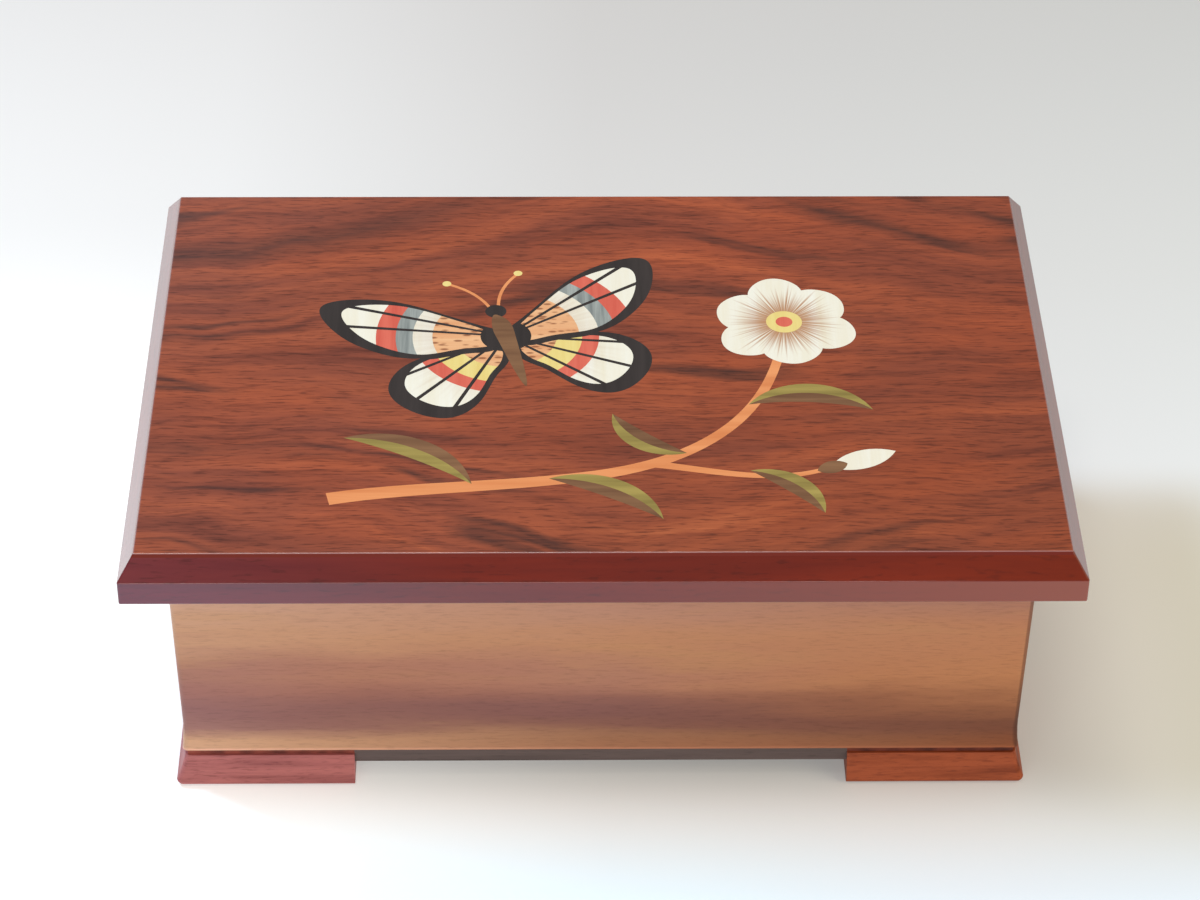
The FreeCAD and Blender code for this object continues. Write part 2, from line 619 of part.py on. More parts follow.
def butterfly():
    """The layers of a butterfly with its head toward +Y, about the middle of its body."""
    root = (0.0, 2.0)
    right = Part.makePlane(FAR, 2 * FAR, Vector(0.1 * GRID, -FAR, 0))
    fore = smooth_loop([(0.6, 4.0), (11.0, 12.5), (22.5, 19.0), (30.0, 18.5), (29.5, 11.5), (24.5, 4.0),
                        (17.0, -0.6), (7.0, -0.8), (0.6, 0.0)]).common(right).Faces[0]
    hind = smooth_loop([(0.6, 1.5), (10.0, 0.0), (19.0, -2.0), (23.5, -8.5), (20.5, -15.5), (14.5, -18.5),
                        (8.5, -15.0), (4.0, -8.5), (0.6, -4.0)]).common(right).cut(fore).Faces[0]
    wings = (
        (fore, scaled(fore, 0.84, 8.0, 5.0), (20.0, 31.5, 44.0),
         (("burl", 13.0), ("ivory", 16.5), ("grey", 19.5), ("coral", 23.0), ("ivory", 40.0))),
        (hind, scaled(hind, 0.8, 8.0, -4.0), (-19.0, -36.0, -53.0),
         (("burl", 9.0), ("yellow", 13.5), ("coral", 16.5), ("ivory", 40.0))),
    )
    pieces = []
    for outline, field, vein_angles, steps in wings:
        for angle in vein_angles:
            a = math.radians(angle)
            line = [(root[0] + r * math.cos(a), root[1] + r * math.sin(a)) for r in (0, 20, 40)]
            field = field.cut(stalk(line, 0.5, 0.9))
        field = field.cut(disc(root[0], root[1], 4.5))
        pieces += ring_cells(field, root, steps)
        pieces.append(("black", outline.cut(field)))
    mirrored = [(wood, mirror_x(face)) for wood, face in pieces]
    body = smooth_loop([(0, 8.5), (1.6, 6.0), (1.7, 2.0), (1.2, -5.0), (0, -13.0), (-1.2, -5.0), (-1.7, 2.0),
                        (-1.6, 6.0)])
    layers = [plain("brown", body), plain("black", disc(0, 9.6, 1.9))]
    for side in (-1, 1):
        layers.append(plain("yellow", disc(side * 6.6, 19.9, 0.8)))
        layers.append(plain("tan", stalk([(side * 0.8, 11.0), (side * 2.6, 15.5), (side * 6.2, 19.5)], 0.6, 0.6)))
    layers.append((pieces + mirrored, [fore, hind, mirror_x(fore), mirror_x(hind)]))
    return layers


def blossom():
    """The layers of an open flower with six petals, about its middle."""
    layers = [plain("coral", disc(0, 0, 1.5)), plain("yellow", disc(0, 0, 3.2))]
    for n in (0, 2, 4, 1, 3, 5):
        length, width = (13.0, 9.6) if n % 2 == 0 else (12.2, 10.4)
        layers.append(plain("ivory", moved(petal(length, width), 0, 0, 60.0 * n + 8.0)))
    return layers


def leaves_and_stalks():
    bud_base, bud_tip = (38.5, -29.5), (50.0, -25.0)
    layers = []
    for wood, base, tip, width in (("brown", (36.4, -30.3), (41.6, -28.3), 1.6), ("ivory", bud_base, bud_tip, 2.4)):
        layers += [plain(wood, leaf_half(base, tip, 0.0, width)), plain(wood, leaf_half(tip, base, 0.0, width))]
    leaves = (
        ((-22.0, -33.6), (-44.0, -21.0), -3.5, 2.6),
        ((-9.0, -32.2), (10.0, -43.0), 3.0, 2.5),
        ((25.6, -12.0), (47.0, -13.5), 4.0, 2.6),
        ((14.5, -25.4), (2.0, -14.5), 2.5, 2.2),
        ((25.0, -30.2), (37.0, -41.5), 2.5, 2.2),
    )
    for base, tip, bulge, width in leaves:
        layers.append(plain("olive", leaf_half(base, tip, bulge, width)))
        layers.append(plain("brown", leaf_half(tip, base, -bulge, width)))
    main_stalk = [(-46.0, -37.5), (-28.0, -34.8), (-8.0, -32.6), (10.0, -27.6), (23.5, -16.5), (30.5, -2.0), FLOWER]
    layers.append(plain("tan", stalk(main_stalk, 3.2, 1.5)))
    layers.append(plain("tan", stalk([(8.0, -28.3), (19.0, -30.5), (30.0, -31.6), bud_base], 1.8, 1.0)))
    return layers


def picture():
    """The layers of the picture, the uppermost first. Each is (pieces, outlines); a piece is (wood, face)."""
    return (layers_moved(butterfly(), *BUTTERFLY) + layers_moved(blossom(), *FLOWER) + leaves_and_stalks())


def lid_top(slab):
    """The face veneer with the picture let into it, each piece cut round the layers above it."""
    taken, woods = [], {}
    for pieces, outlines in picture():
        for wood, face in pieces:
            near = [above for above in taken if above.BoundBox.intersect(face.BoundBox)]
            left = face.cut(near) if near else face
            woods.setdefault(wood, []).extend(left.Faces)
        taken.extend(outlines)
    up = Vector(0, 0, LID_TOP - VENEER)
    for wood, faces in woods.items():
        write("inlay_" + wood, *[face.translated(up).extrude(Vector(0, 0, VENEER)) for face in faces])
    sheet = Part.makePlane(LID_WIDTH, LID_DEPTH, Vector(-LID_WIDTH / 2, -LID_DEPTH / 2, 0)).cut(taken)
    write("lid_veneer", slab.common(sheet.translated(up).extrude(Vector(0, 0, VENEER))))


def guide_screws():
    """Places (y, z) of the two screws that hold the rod's guide to the partition."""
    y = ROD_Y - EAR_DEPTH / 2 + GUIDE_DEPTH - 3.0
    return [(y, GUIDE_BOTTOM + 4.0), (y, GUIDE_BOTTOM + GUIDE_HEIGHT - 4.0)]


def wood_screws():
    screw = slotted_screw(WOOD_SCREW, WOOD_SCREW_LENGTH, WOOD_HEAD, HINGE_LEAF, countersunk=True)
    short = slotted_screw(WOOD_SCREW, GUIDE_SHEET + PARTITION * 0.75, WOOD_HEAD, HINGE_LEAF)
    x = PART_LEFT - GUIDE_SHEET
    write("case_screws",
          *[place(screw, sx, sy, RIM - LEAF_GAP) for sx, sy in leaf_screws()],
          *[place(short, x, gy, gz, (0, 1, 0), -90) for gy, gz in guide_screws()])
    write("lid_screws", *[place(screw, sx, sy, RIM + LEAF_GAP, (1, 0, 0), 180) for sx, sy in leaf_screws()])


# ---------------------------------------------------------------- movement: fixed parts
GUIDE_BOTTOM = PANE_TOP - PANE - CLEAT - GUIDE_HEIGHT + 1.5


def mount_screws():
    """Plan places of the three screws that hold the bedplate down."""
    inset = MOUNT_HEAD + 1.5
    left, right = MOVE_X - BED_WIDTH / 2 + inset, MOVE_X + BED_WIDTH / 2 - inset
    front, back = MOVE_Y - BED_DEPTH / 2 + inset, MOVE_Y + BED_DEPTH / 2 - inset
    return [(left, front), (right, front), ((left + right * 3) / 4, back)]


def bridge_posts():
    """The bridge stands on two posts, one each side of the barrel."""
    away = (BARREL_RADIUS + 0.5 + POST_RADIUS) * math.sqrt(0.5)
    return [(BARREL_X - away, AXIS_Y + away), (BARREL_X + away, AXIS_Y - away)]


BRIDGE_Z = CROWN_PITCH_Z + DRIVE_MODULE + 0.9
COMB_TIP_Y = AXIS_Y - CYLINDER_RADIUS - PIN_OUT - COMB_TIP_GAP
COMB_ROOT_Y = COMB_TIP_Y - COMB_LONG
COMB_BACK_Y = COMB_ROOT_Y - COMB_ROOT
COMB_Z = AXIS_Z - COMB_PLATE / 2
GOV_FOOT = 1.8
GOV_SCREW = (PLATE_X - 4.5, GOV_Y + 1.0)


def comb_screws():
    inset = CYLINDER_LENGTH * 0.22
    y = COMB_ROOT_Y - COMB_ROOT / 2
    return [(CYLINDER_X + inset, y), (CYLINDER_END - inset, y)]


def metal_screw(length):
    return slotted_screw(METAL_SCREW, length, METAL_HEAD, METAL_HEAD_HEIGHT)


def bedplate():
    x0, x1 = MOVE_X - BED_WIDTH / 2, MOVE_X + BED_WIDTH / 2
    bed = rounded_plate(x0, x1, MOVE_Y - BED_DEPTH / 2, MOVE_Y + BED_DEPTH / 2, FLOOR, BED_TOP, BED_CORNER)
    comb_block = box(CYLINDER_X - 1.0, CYLINDER_END + 1.0, COMB_BACK_Y, COMB_ROOT_Y, BED_TOP - 1, COMB_Z)
    posts = [rod(POST_RADIUS, (x, y, BED_TOP - 1), (x, y, BRIDGE_Z)) for x, y in bridge_posts()]
    bed = fused(bed, comb_block, *posts)
    bed = bed.cut(rod(ARBOR_RADIUS + RUN_FIT, (BARREL_X, AXIS_Y, 0), (BARREL_X, AXIS_Y, BED_TOP + 1)))
    for x, y in mount_screws():
        bed = bed.cut(rod(MOUNT_SCREW + SCREW_FIT, (x, y, 0), (x, y, FLOOR + BED * 0.8)))
    depth = METAL_HEAD * 2.5
    for x, y in comb_screws():
        bed = bed.cut(rod(METAL_SCREW + SCREW_FIT, (x, y, COMB_Z - depth), (x, y, COMB_Z + 1)))
    for x, y in bridge_posts():
        bed = bed.cut(rod(METAL_SCREW + SCREW_FIT, (x, y, BRIDGE_Z - depth), (x, y, BRIDGE_Z + 1)))
    x, y = GOV_SCREW
    bed = bed.cut(rod(METAL_SCREW + SCREW_FIT, (x, y, FLOOR + BED * 0.2), (x, y, BED_TOP + 1)))
    write("bedplate", bed)

    mount = slotted_screw(MOUNT_SCREW, BOARD + BED * 0.75, MOUNT_HEAD, MOUNT_HEAD_HEIGHT)
    write("mount_screws", *[place(mount, x, y, FLOOR - BOARD, (1, 0, 0), 180) for x, y in mount_screws()])
    below = METAL_HEAD * 2.4
    tops = [place(metal_screw(COMB_PLATE + below), x, y, COMB_Z + COMB_PLATE) for x, y in comb_screws()]
    tops += [place(metal_screw(BRIDGE + below), x, y, BRIDGE_Z + BRIDGE) for x, y in bridge_posts()]
    x, y = GOV_SCREW
    tops.append(place(metal_screw(GOV_FOOT + BED * 0.75), x, y, BED_TOP + GOV_FOOT))
    write("movement_screws", *tops)


def comb():
    """A steel comb: one tooth to a note, long and weighted for the low notes at the left."""
    pitch = CYLINDER_LENGTH / NOTES
    plate = box(CYLINDER_X, CYLINDER_END, COMB_BACK_Y, COMB_TIP_Y, COMB_Z, COMB_Z + COMB_PLATE)
    for n in range(NOTES + 1):
        share = n / NOTES
        root = COMB_TIP_Y - COMB_LONG + (COMB_LONG - COMB_SHORT) * share
        x = CYLINDER_X + n * pitch
        plate = plate.cut(box(x - COMB_SLOT / 2, x + COMB_SLOT / 2, root, COMB_TIP_Y + 1,
                              COMB_Z - 1, COMB_Z + COMB_PLATE + 1))
    relief = prism([(0, 0), (COMB_SHORT * 0.9, 0), (0, COMB_PLATE * 0.5)], 0, CYLINDER_LENGTH + 2)
    relief = place(relief, CYLINDER_X - 1, 0, 0, (0.57735, 0.57735, 0.57735), 120)
    relief = relief.mirror(Vector(0, 0, 0), Vector(0, 1, 0))
    relief.translate(Vector(0, COMB_TIP_Y, COMB_Z))
    plate = plate.cut(relief)
    for n in range(NOTES // 2):
        x = CYLINDER_X + (n + 0.5) * pitch
        half = (pitch - COMB_SLOT) / 2
        depth = 2.2 - 1.4 * n / (NOTES / 2)
        plate = plate.fuse(box(x - half, x + half, COMB_TIP_Y - 4.0, COMB_TIP_Y - 1.5,
                               COMB_Z - depth, COMB_Z + COMB_PLATE * 0.6))
    for x, y in comb_screws():
        plate = plate.cut(rod(METAL_SCREW + SCREW_FIT, (x, y, COMB_Z - 1), (x, y, COMB_Z + COMB_PLATE + 1)))
    write("comb", plate)


def bridge():
    """The strap over the barrel: top bearing of the arbor, and left bearing of the cylinder."""
    (x0, y0), (x1, y1) = bridge_posts()
    half = BRIDGE_WIDTH / 2
    length = math.hypot(x1 - x0, y1 - y0)
    strap = rounded_plate(-length / 2 - half, length / 2 + half, -half, half, 0, BRIDGE, half * 0.98)
    strap = place(strap, (x0 + x1) / 2, (y0 + y1) / 2, BRIDGE_Z, (0, 0, 1), -45)
    block_x = PINION_X - PINION_FACE / 2 - 4.5
    arm = box(BARREL_X, block_x + 2.0, AXIS_Y - 2.2, AXIS_Y + 2.2, BRIDGE_Z, BRIDGE_Z + BRIDGE)
    block = box(block_x, block_x + 2.0, AXIS_Y - 2.2, AXIS_Y + 2.2, BRIDGE_Z - 0.4, AXIS_Z + AXLE + 1.2)
    shape = fused(strap, arm, block)
    shape = shape.cut(rod(AXLE + RUN_FIT, (block_x - 1, AXIS_Y, AXIS_Z), (block_x + 3, AXIS_Y, AXIS_Z)))
    shape = shape.cut(rod(ARBOR_PIVOT + RUN_FIT, (BARREL_X, AXIS_Y, BRIDGE_Z - 1),
                          (BARREL_X, AXIS_Y, BRIDGE_Z + BRIDGE + 1)))
    for x, y in bridge_posts():
        shape = shape.cut(rod(METAL_SCREW + SCREW_FIT, (x, y, BRIDGE_Z - 1), (x, y, BRIDGE_Z + BRIDGE + 1)))
    write("barrel_bridge", shape)


def governor_frame():
    """A small casting with two upright plates, and an arm over the fan."""
    low = GOV_Y - 3.0
    high = WORM_Y - FAN_RADIUS - 0.4
    inner = box(PLATE_X, PLATE_X + FRAME_PLATE, AXIS_Y - 2.5, GOV_Y + 3.4, BED_TOP, AXIS_Z + 2.6)
    inner_up = box(PLATE_X, PLATE_X + FRAME_PLATE, low, high, BED_TOP, FRAME_TOP)
    outer_up = box(OUTER_X, OUTER_X + FRAME_PLATE, low, high, BED_TOP, FRAME_TOP)
    outer = box(OUTER_X, OUTER_X + FRAME_PLATE, low, GOV_Y + 3.4, BED_TOP, GOV_Z + 2.6)
    right = OUTER_X + FRAME_PLATE
    foot = box(GOV_SCREW[0] - 3.0, right, low, WORM_Y + 2.4, BED_TOP, BED_TOP + GOV_FOOT)
    arm = box(PLATE_X, right, low, WORM_Y + 2.0, FRAME_TOP, FRAME_TOP + 1.2)
    shape = fused(inner, inner_up, outer_up, outer, foot, arm)
    shape = shape.cut(rod(AXLE + RUN_FIT, (PLATE_X - 1, AXIS_Y, AXIS_Z), (PLATE_X + 2, AXIS_Y, AXIS_Z)))
    shape = shape.cut(rod(0.5 + RUN_FIT, (PLATE_X - 1, GOV_Y, GOV_Z), (right + 1, GOV_Y, GOV_Z)))
    shape = shape.cut(rod(0.4 + RUN_FIT, (WORM_X, WORM_Y, BED_TOP + 0.6), (WORM_X, WORM_Y, FRAME_TOP + 2)))
    x, y = GOV_SCREW
    shape = shape.cut(rod(METAL_SCREW + SCREW_FIT, (x, y, BED_TOP - 1), (x, y, BED_TOP + GOV_FOOT + 1)))
    write("governor_frame", shape)


# ---------------------------------------------------------------- toothed wheels
def involute(angle):
    return math.tan(angle) - angle


def spur_gear(teeth, module, width, addendum, phase):
    """A toothed disc on +Z from z = 0, with the middle of one tooth at the angle `phase`."""
    pitch = teeth * module / 2
    base = pitch * math.cos(PRESSURE_ANGLE)
    root = pitch - 1.2 * module
    tip = pitch + addendum
    half_at_pitch = (math.pi * module / 2 - BACKLASH) / (2 * pitch)

    def half_angle(radius):
        if radius <= base:
            return half_at_pitch + involute(PRESSURE_ANGLE)
        return half_at_pitch + involute(PRESSURE_ANGLE) - involute(math.acos(base / radius))

    flank = [root, max(root, base)] + [base + (tip - base) * s for s in (0.4, 0.7, 1.0)]
    flank = sorted(set(round(r, 6) for r in flank if r >= root))
    points = []
    for n in range(teeth):
        middle = phase + 2 * math.pi * n / teeth
        points += [(r * math.cos(middle - half_angle(r)), r * math.sin(middle - half_angle(r))) for r in flank]
        points += [(r * math.cos(middle + half_angle(r)), r * math.sin(middle + half_angle(r)))
                   for r in reversed(flank)]
    return prism(points, 0, width)


def on_x(shape, x, y, z):
    """Turns a wheel drawn on +Z so that it lies on +X; its angle 0 then points along +Y."""
    return place(shape, x, y, z, (0.57735, 0.57735, 0.57735), 120)


def barrel():
    """The spring barrel: a cup, and a cover with a ring of crown teeth."""
    centre = Vector(BARREL_X, AXIS_Y, 0)
    cover_z = CROWN_ROOT_Z - COVER
    cup = Part.makeCylinder(BARREL_RADIUS, cover_z - BARREL_Z, centre + Vector(0, 0, BARREL_Z))
    cup = cup.cut(Part.makeCylinder(BARREL_RADIUS - BARREL_WALL, cover_z, centre + Vector(0, 0, BARREL_Z + BARREL_WALL)))
    hole = Part.makeCylinder(ARBOR_RADIUS + RUN_FIT, RIM, centre)
    write("spring_barrel", cup.cut(hole))

    cover = Part.makeCylinder(BARREL_RADIUS, COVER, centre + Vector(0, 0, cover_z))
    inner, outer = CROWN_RADIUS - CROWN_FACE / 2, BARREL_RADIUS
    addendum, dedendum = 0.7 * DRIVE_MODULE, 1.25 * DRIVE_MODULE
    half = (math.pi * DRIVE_MODULE / 2 - 2 * BACKLASH) / 2
    lean = math.tan(PRESSURE_ANGLE)
    low, high = half + dedendum * lean, half - addendum * lean
    profile = Part.makePolygon([
        Vector(inner, -low, -dedendum - 0.2), Vector(inner, low, -dedendum - 0.2),
        Vector(inner, low, -dedendum), Vector(inner, high, addendum),
        Vector(inner, -high, addendum), Vector(inner, -low, -dedendum), Vector(inner, -low, -dedendum - 0.2),
    ])
    tooth = Part.Face(profile).extrude(Vector(outer - inner - 0.05, 0, 0))
    tooth = place(tooth, BARREL_X, AXIS_Y, CROWN_PITCH_Z)
    teeth = []
    for n in range(CROWN_TEETH):
        turned = tooth.copy()
        turned.rotate(Vector(BARREL_X, AXIS_Y, 0), Vector(0, 0, 1), 360.0 * n / CROWN_TEETH)
        teeth.append(turned)
    write("crown_cover", cover.fuse(teeth).cut(hole))


def mainspring():
    """A steel strip coiled from the arbor's hub out to the barrel's wall."""
    inner = ARBOR_HUB + 0.1
    outer = BARREL_RADIUS - BARREL_WALL - SPRING_STRIP - 0.1
    steps = 14 * SPRING_TURNS

    def spiral(offset):
        curve = Part.BSplineCurve()
        curve.interpolate([
            Vector((inner + (outer - inner) * n / steps + offset) * math.cos(2 * math.pi * SPRING_TURNS * n / steps),
                   (inner + (outer - inner) * n / steps + offset) * math.sin(2 * math.pi * SPRING_TURNS * n / steps), 0)
            for n in range(steps + 1)])
        return curve.toShape()

    one, two = spiral(0.0), spiral(SPRING_STRIP)
    ends = [Part.makeLine(one.valueAt(one.FirstParameter), two.valueAt(two.FirstParameter)),
            Part.makeLine(one.valueAt(one.LastParameter), two.valueAt(two.LastParameter))]
    face = Part.Face(Part.Wire(Part.__sortEdges__([one, two] + ends)))
    low = BARREL_Z + BARREL_WALL + 0.2
    strip = face.extrude(Vector(0, 0, CROWN_ROOT_Z - COVER - 0.2 - low))
    write("mainspring", place(strip, BARREL_X, AXIS_Y, low))


def arbor_and_key():
    x, y = BARREL_X, AXIS_Y
    hub_low = BARREL_Z + BARREL_WALL + END_FIT
    hub_high = CROWN_ROOT_Z - COVER - END_FIT
    key_top = KEY_GROUND + KEY_HEIGHT
    shaft = rod(ARBOR_RADIUS, (x, y, key_top), (x, y, BRIDGE_Z - END_FIT))
    thread = rod(ARBOR_THREAD, (x, y, KEY_GROUND + 1.0), (x, y, key_top + 0.1))
    hub = rod(ARBOR_HUB, (x, y, hub_low), (x, y, hub_high))
    collar = rod(ARBOR_HUB + 0.6, (x, y, BED_TOP + END_FIT), (x, y, BARREL_Z - END_FIT))
    pivot = rod(ARBOR_PIVOT, (x, y, BRIDGE_Z - 1), (x, y, BRIDGE_Z + BRIDGE + 0.3))
    write("winding_arbor", fused(shaft, thread, hub, collar, pivot))

    hub = rod(KEY_HUB, (x, y, KEY_GROUND), (x, y, key_top))
    half = KEY_SPAN / 2
    round_end = KEY_HEIGHT / 2 * 0.96
    wing = rounded_plate(-half, half, -KEY_HEIGHT / 2, KEY_HEIGHT / 2, -KEY_WING / 2, KEY_WING / 2, round_end)
    wing = place(wing, x, y, KEY_GROUND + KEY_HEIGHT / 2, (1, 0, 0), 90)
    eyes = [rod(KEY_HEIGHT * 0.2, (x + s * half * 0.68, y - KEY_WING, KEY_GROUND + KEY_HEIGHT / 2),
                (x + s * half * 0.68, y + KEY_WING, KEY_GROUND + KEY_HEIGHT / 2)) for s in (-1, 1)]
    hub = hub.makeChamfer(0.4, hub.Edges[0:1] + hub.Edges[2:3])
    key = fused(hub, wing).cut(Part.makeCompound(eyes))
    bore = rod(ARBOR_THREAD, (x, y, KEY_GROUND + 1.0), (x, y, key_top + 1))
    write("winding_key", key.cut(bore))


def cylinder():
    left = CYLINDER_X
    body = rod(CYLINDER_RADIUS, (left, AXIS_Y, AXIS_Z), (CYLINDER_END, AXIS_Y, AXIS_Z))
    body = body.cut(rod(CYLINDER_RADIUS - CYLINDER_TUBE, (left + 1.0, AXIS_Y, AXIS_Z),
                        (CYLINDER_END - 1.0, AXIS_Y, AXIS_Z)))
    hole = rod(AXLE, (left - 40, AXIS_Y, AXIS_Z), (CYLINDER_END + 40, AXIS_Y, AXIS_Z))
    write("pinned_cylinder", body.cut(hole))
    block_x = PINION_X - PINION_FACE / 2 - 4.5
    write("cylinder_axle", rod(AXLE, (block_x + 0.3, AXIS_Y, AXIS_Z), (PLATE_X + FRAME_PLATE - 0.1, AXIS_Y, AXIS_Z)))

    down = -math.pi / 2 + math.pi / DRIVE_PINION_TEETH
    pinion = spur_gear(DRIVE_PINION_TEETH, DRIVE_MODULE, PINION_FACE, 0.9 * DRIVE_MODULE, down)
    write("drive_pinion", on_x(pinion, PINION_X - PINION_FACE / 2, AXIS_Y, AXIS_Z).cut(hole))
    wheel = spur_gear(WHEEL_TEETH, GEAR_MODULE, WHEEL_FACE, 0.8 * GEAR_MODULE, -GOV_DIP)
    for n in range(5):
        angle = 2 * math.pi * n / 5
        ring = WHEEL_RADIUS * 0.58
        wheel = wheel.cut(Part.makeCylinder(WHEEL_RADIUS * 0.2, WHEEL_FACE * 3,
                                            Vector(ring * math.cos(angle), ring * math.sin(angle), -1)))
    write("cylinder_wheel", on_x(wheel, WHEEL_X, AXIS_Y, AXIS_Z).cut(hole))

    pins = []
    pitch = CYLINDER_LENGTH / NOTES
    for note in range(NOTES):
        count = 5 + (note * 5) % 4
        for n in range(count):
            angle = 360.0 * (((note * 0.381966) + n / count + 0.031 * ((note + 2 * n) % 5)) % 1.0)
            pin = Part.makeCylinder(TUNE_PIN, PIN_OUT, Vector(0, 0, CYLINDER_RADIUS))
            pin = place(pin, CYLINDER_X + (note + 0.5) * pitch, AXIS_Y, AXIS_Z, (1, 0, 0), angle)
            pins.append(pin)
    write("tune_pins", *pins)


def governor():
    """The governor arbor with its pinion and worm wheel, and the worm with its fan."""
    toward = math.pi - GOV_DIP + math.pi / GOVERNOR_PINION_TEETH
    pinion = spur_gear(GOVERNOR_PINION_TEETH, GEAR_MODULE, WHEEL_FACE + 0.2, 0.8 * GEAR_MODULE, toward)
    wheel = spur_gear(GOVERNOR_TEETH, GEAR_MODULE, WHEEL_FACE, 0.8 * GEAR_MODULE, 0.0)
    axle = rod(0.5, (WHEEL_X - 0.3, GOV_Y, GOV_Z), (OUTER_X + FRAME_PLATE - 0.1, GOV_Y, GOV_Z))
    write("governor_wheel", fused(axle, on_x(pinion, WHEEL_X - 0.1, GOV_Y, GOV_Z),
                                  on_x(wheel, GOV_WHEEL_X, GOV_Y, GOV_Z)))

    lead = math.pi * GEAR_MODULE
    root = WORM_PITCH_RADIUS - 1.25 * GEAR_MODULE
    tip = WORM_PITCH_RADIUS + 0.8 * GEAR_MODULE
    half = (lead / 2 - BACKLASH) / 2
    lean = math.tan(PRESSURE_ANGLE)
    bite = root - 0.15
    turns = math.ceil(WORM_LENGTH / lead)
    low = -turns * lead / 2
    helix = Part.makeHelix(lead, turns * lead, WORM_PITCH_RADIUS)
    wide = half + (WORM_PITCH_RADIUS - bite) * lean
    thin = half - (tip - WORM_PITCH_RADIUS) * lean
    profile = Part.makePolygon([
        Vector(bite, 0, -wide), Vector(tip, 0, -thin), Vector(tip, 0, thin), Vector(bite, 0, wide),
        Vector(bite, 0, -wide)])
    thread = Part.Wire(helix).makePipeShell([profile], True, True)
    # The thread starts on +X. Turned by half a turn and half a pitch, its space faces the wheel.
    thread.translate(Vector(0, 0, low))
    thread.rotate(Vector(0, 0, 0), Vector(0, 0, 1), -90.0 + (0.0 if turns % 2 else 180.0))
    core = Part.makeCylinder(root, turns * lead + 1.2, Vector(0, 0, low - 0.6))
    worm = core.fuse(thread)
    spindle = rod(0.4, (0, 0, BED_TOP + 0.8 - GOV_Z), (0, 0, FRAME_TOP + 1.0 - GOV_Z))
    wings = box(-FAN_RADIUS, FAN_RADIUS, -FAN_SHEET / 2, FAN_SHEET / 2, FAN_Z - GOV_Z, FAN_Z + FAN_HEIGHT - GOV_Z)
    sleeve = rod(0.8, (0, 0, FAN_Z - GOV_Z), (0, 0, FAN_Z + FAN_HEIGHT - GOV_Z))
    write("governor_worm", place(worm.fuse(spindle), WORM_X, WORM_Y, GOV_Z))
    fan = fused(wings, sleeve).cut(rod(0.4, (0, 0, -10), (0, 0, 20)))
    write("governor_fan", place(fan, WORM_X, WORM_Y, GOV_Z))


# ---------------------------------------------------------------- stop rod: lifted as the lid opens
def stop_rod():
    collar_top = HOOK_Z - ROD_RADIUS - 0.3
    collar_low = collar_top - COLLAR
    ear_low = GUIDE_BOTTOM
    tip = RIM - LINING - ROD_LID_GAP
    bar = rod(ROD_RADIUS, (ROD_X, ROD_Y, ear_low - 1.0), (ROD_X, ROD_Y, tip - ROD_RADIUS))
    cap = Part.makeSphere(ROD_RADIUS, Vector(ROD_X, ROD_Y, tip - ROD_RADIUS))
    collar = rod(COLLAR_RADIUS, (ROD_X, ROD_Y, collar_low), (ROD_X, ROD_Y, collar_top))
    reach = math.sqrt(max(FAN_RADIUS ** 2 - (ROD_X - WORM_X) ** 2, 0.0))
    hook = rod(ROD_RADIUS * 0.8, (ROD_X, ROD_Y, HOOK_Z), (ROD_X, WORM_Y + reach + HOOK_GAP + ROD_RADIUS, HOOK_Z))
    write("stop_rod", fused(bar, cap, collar, hook))

    x0, x1 = PART_LEFT - GUIDE_SHEET, PART_LEFT
    y0, y1 = ROD_Y - EAR_DEPTH / 2, ROD_Y - EAR_DEPTH / 2 + GUIDE_DEPTH
    plate = box(x0, x1, y0, y1, GUIDE_BOTTOM, GUIDE_BOTTOM + GUIDE_HEIGHT)
    ears = [box(ROD_X - EAR_DEPTH / 2, x1, y0, y0 + EAR_DEPTH, z, z + GUIDE_SHEET)
            for z in (GUIDE_BOTTOM, GUIDE_BOTTOM + GUIDE_HEIGHT - GUIDE_SHEET)]
    guide = fused(plate, *ears).cut(rod(ROD_RADIUS + RUN_FIT, (ROD_X, ROD_Y, 0), (ROD_X, ROD_Y, RIM)))
    for y, z in guide_screws():
        guide = guide.cut(rod(WOOD_SCREW + SCREW_FIT, (x0 - 1, y, z), (x1 + 1, y, z)))
    write("stop_guide", guide)

    low = GUIDE_BOTTOM + GUIDE_SHEET + COIL_WIRE + 0.02
    high = collar_low - COIL_WIRE - 0.02
    helix = Part.makeHelix((high - low) / COIL_TURNS, high - low, COIL_RADIUS)
    section = Part.Wire(Part.makeCircle(COIL_WIRE, Vector(COIL_RADIUS, 0, 0), Vector(0, 1, 0)))
    coil = Part.Wire(helix).makePipeShell([section], True, True)
    write("stop_spring", place(coil, ROD_X, ROD_Y, low))


def main():
    os.makedirs(OUT, exist_ok=True)
    case_walls()
    bottom_board()
    feet()
    fittings()
    hinges()
    lid_top(lid_boards())
    wood_screws()
    bedplate()
    comb()
    bridge()
    governor_frame()
    barrel()
    mainspring()
    arbor_and_key()
    cylinder()
    governor()
    stop_rod()


main()
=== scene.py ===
import math

import bpy
from mathutils import Matrix, Vector, noise


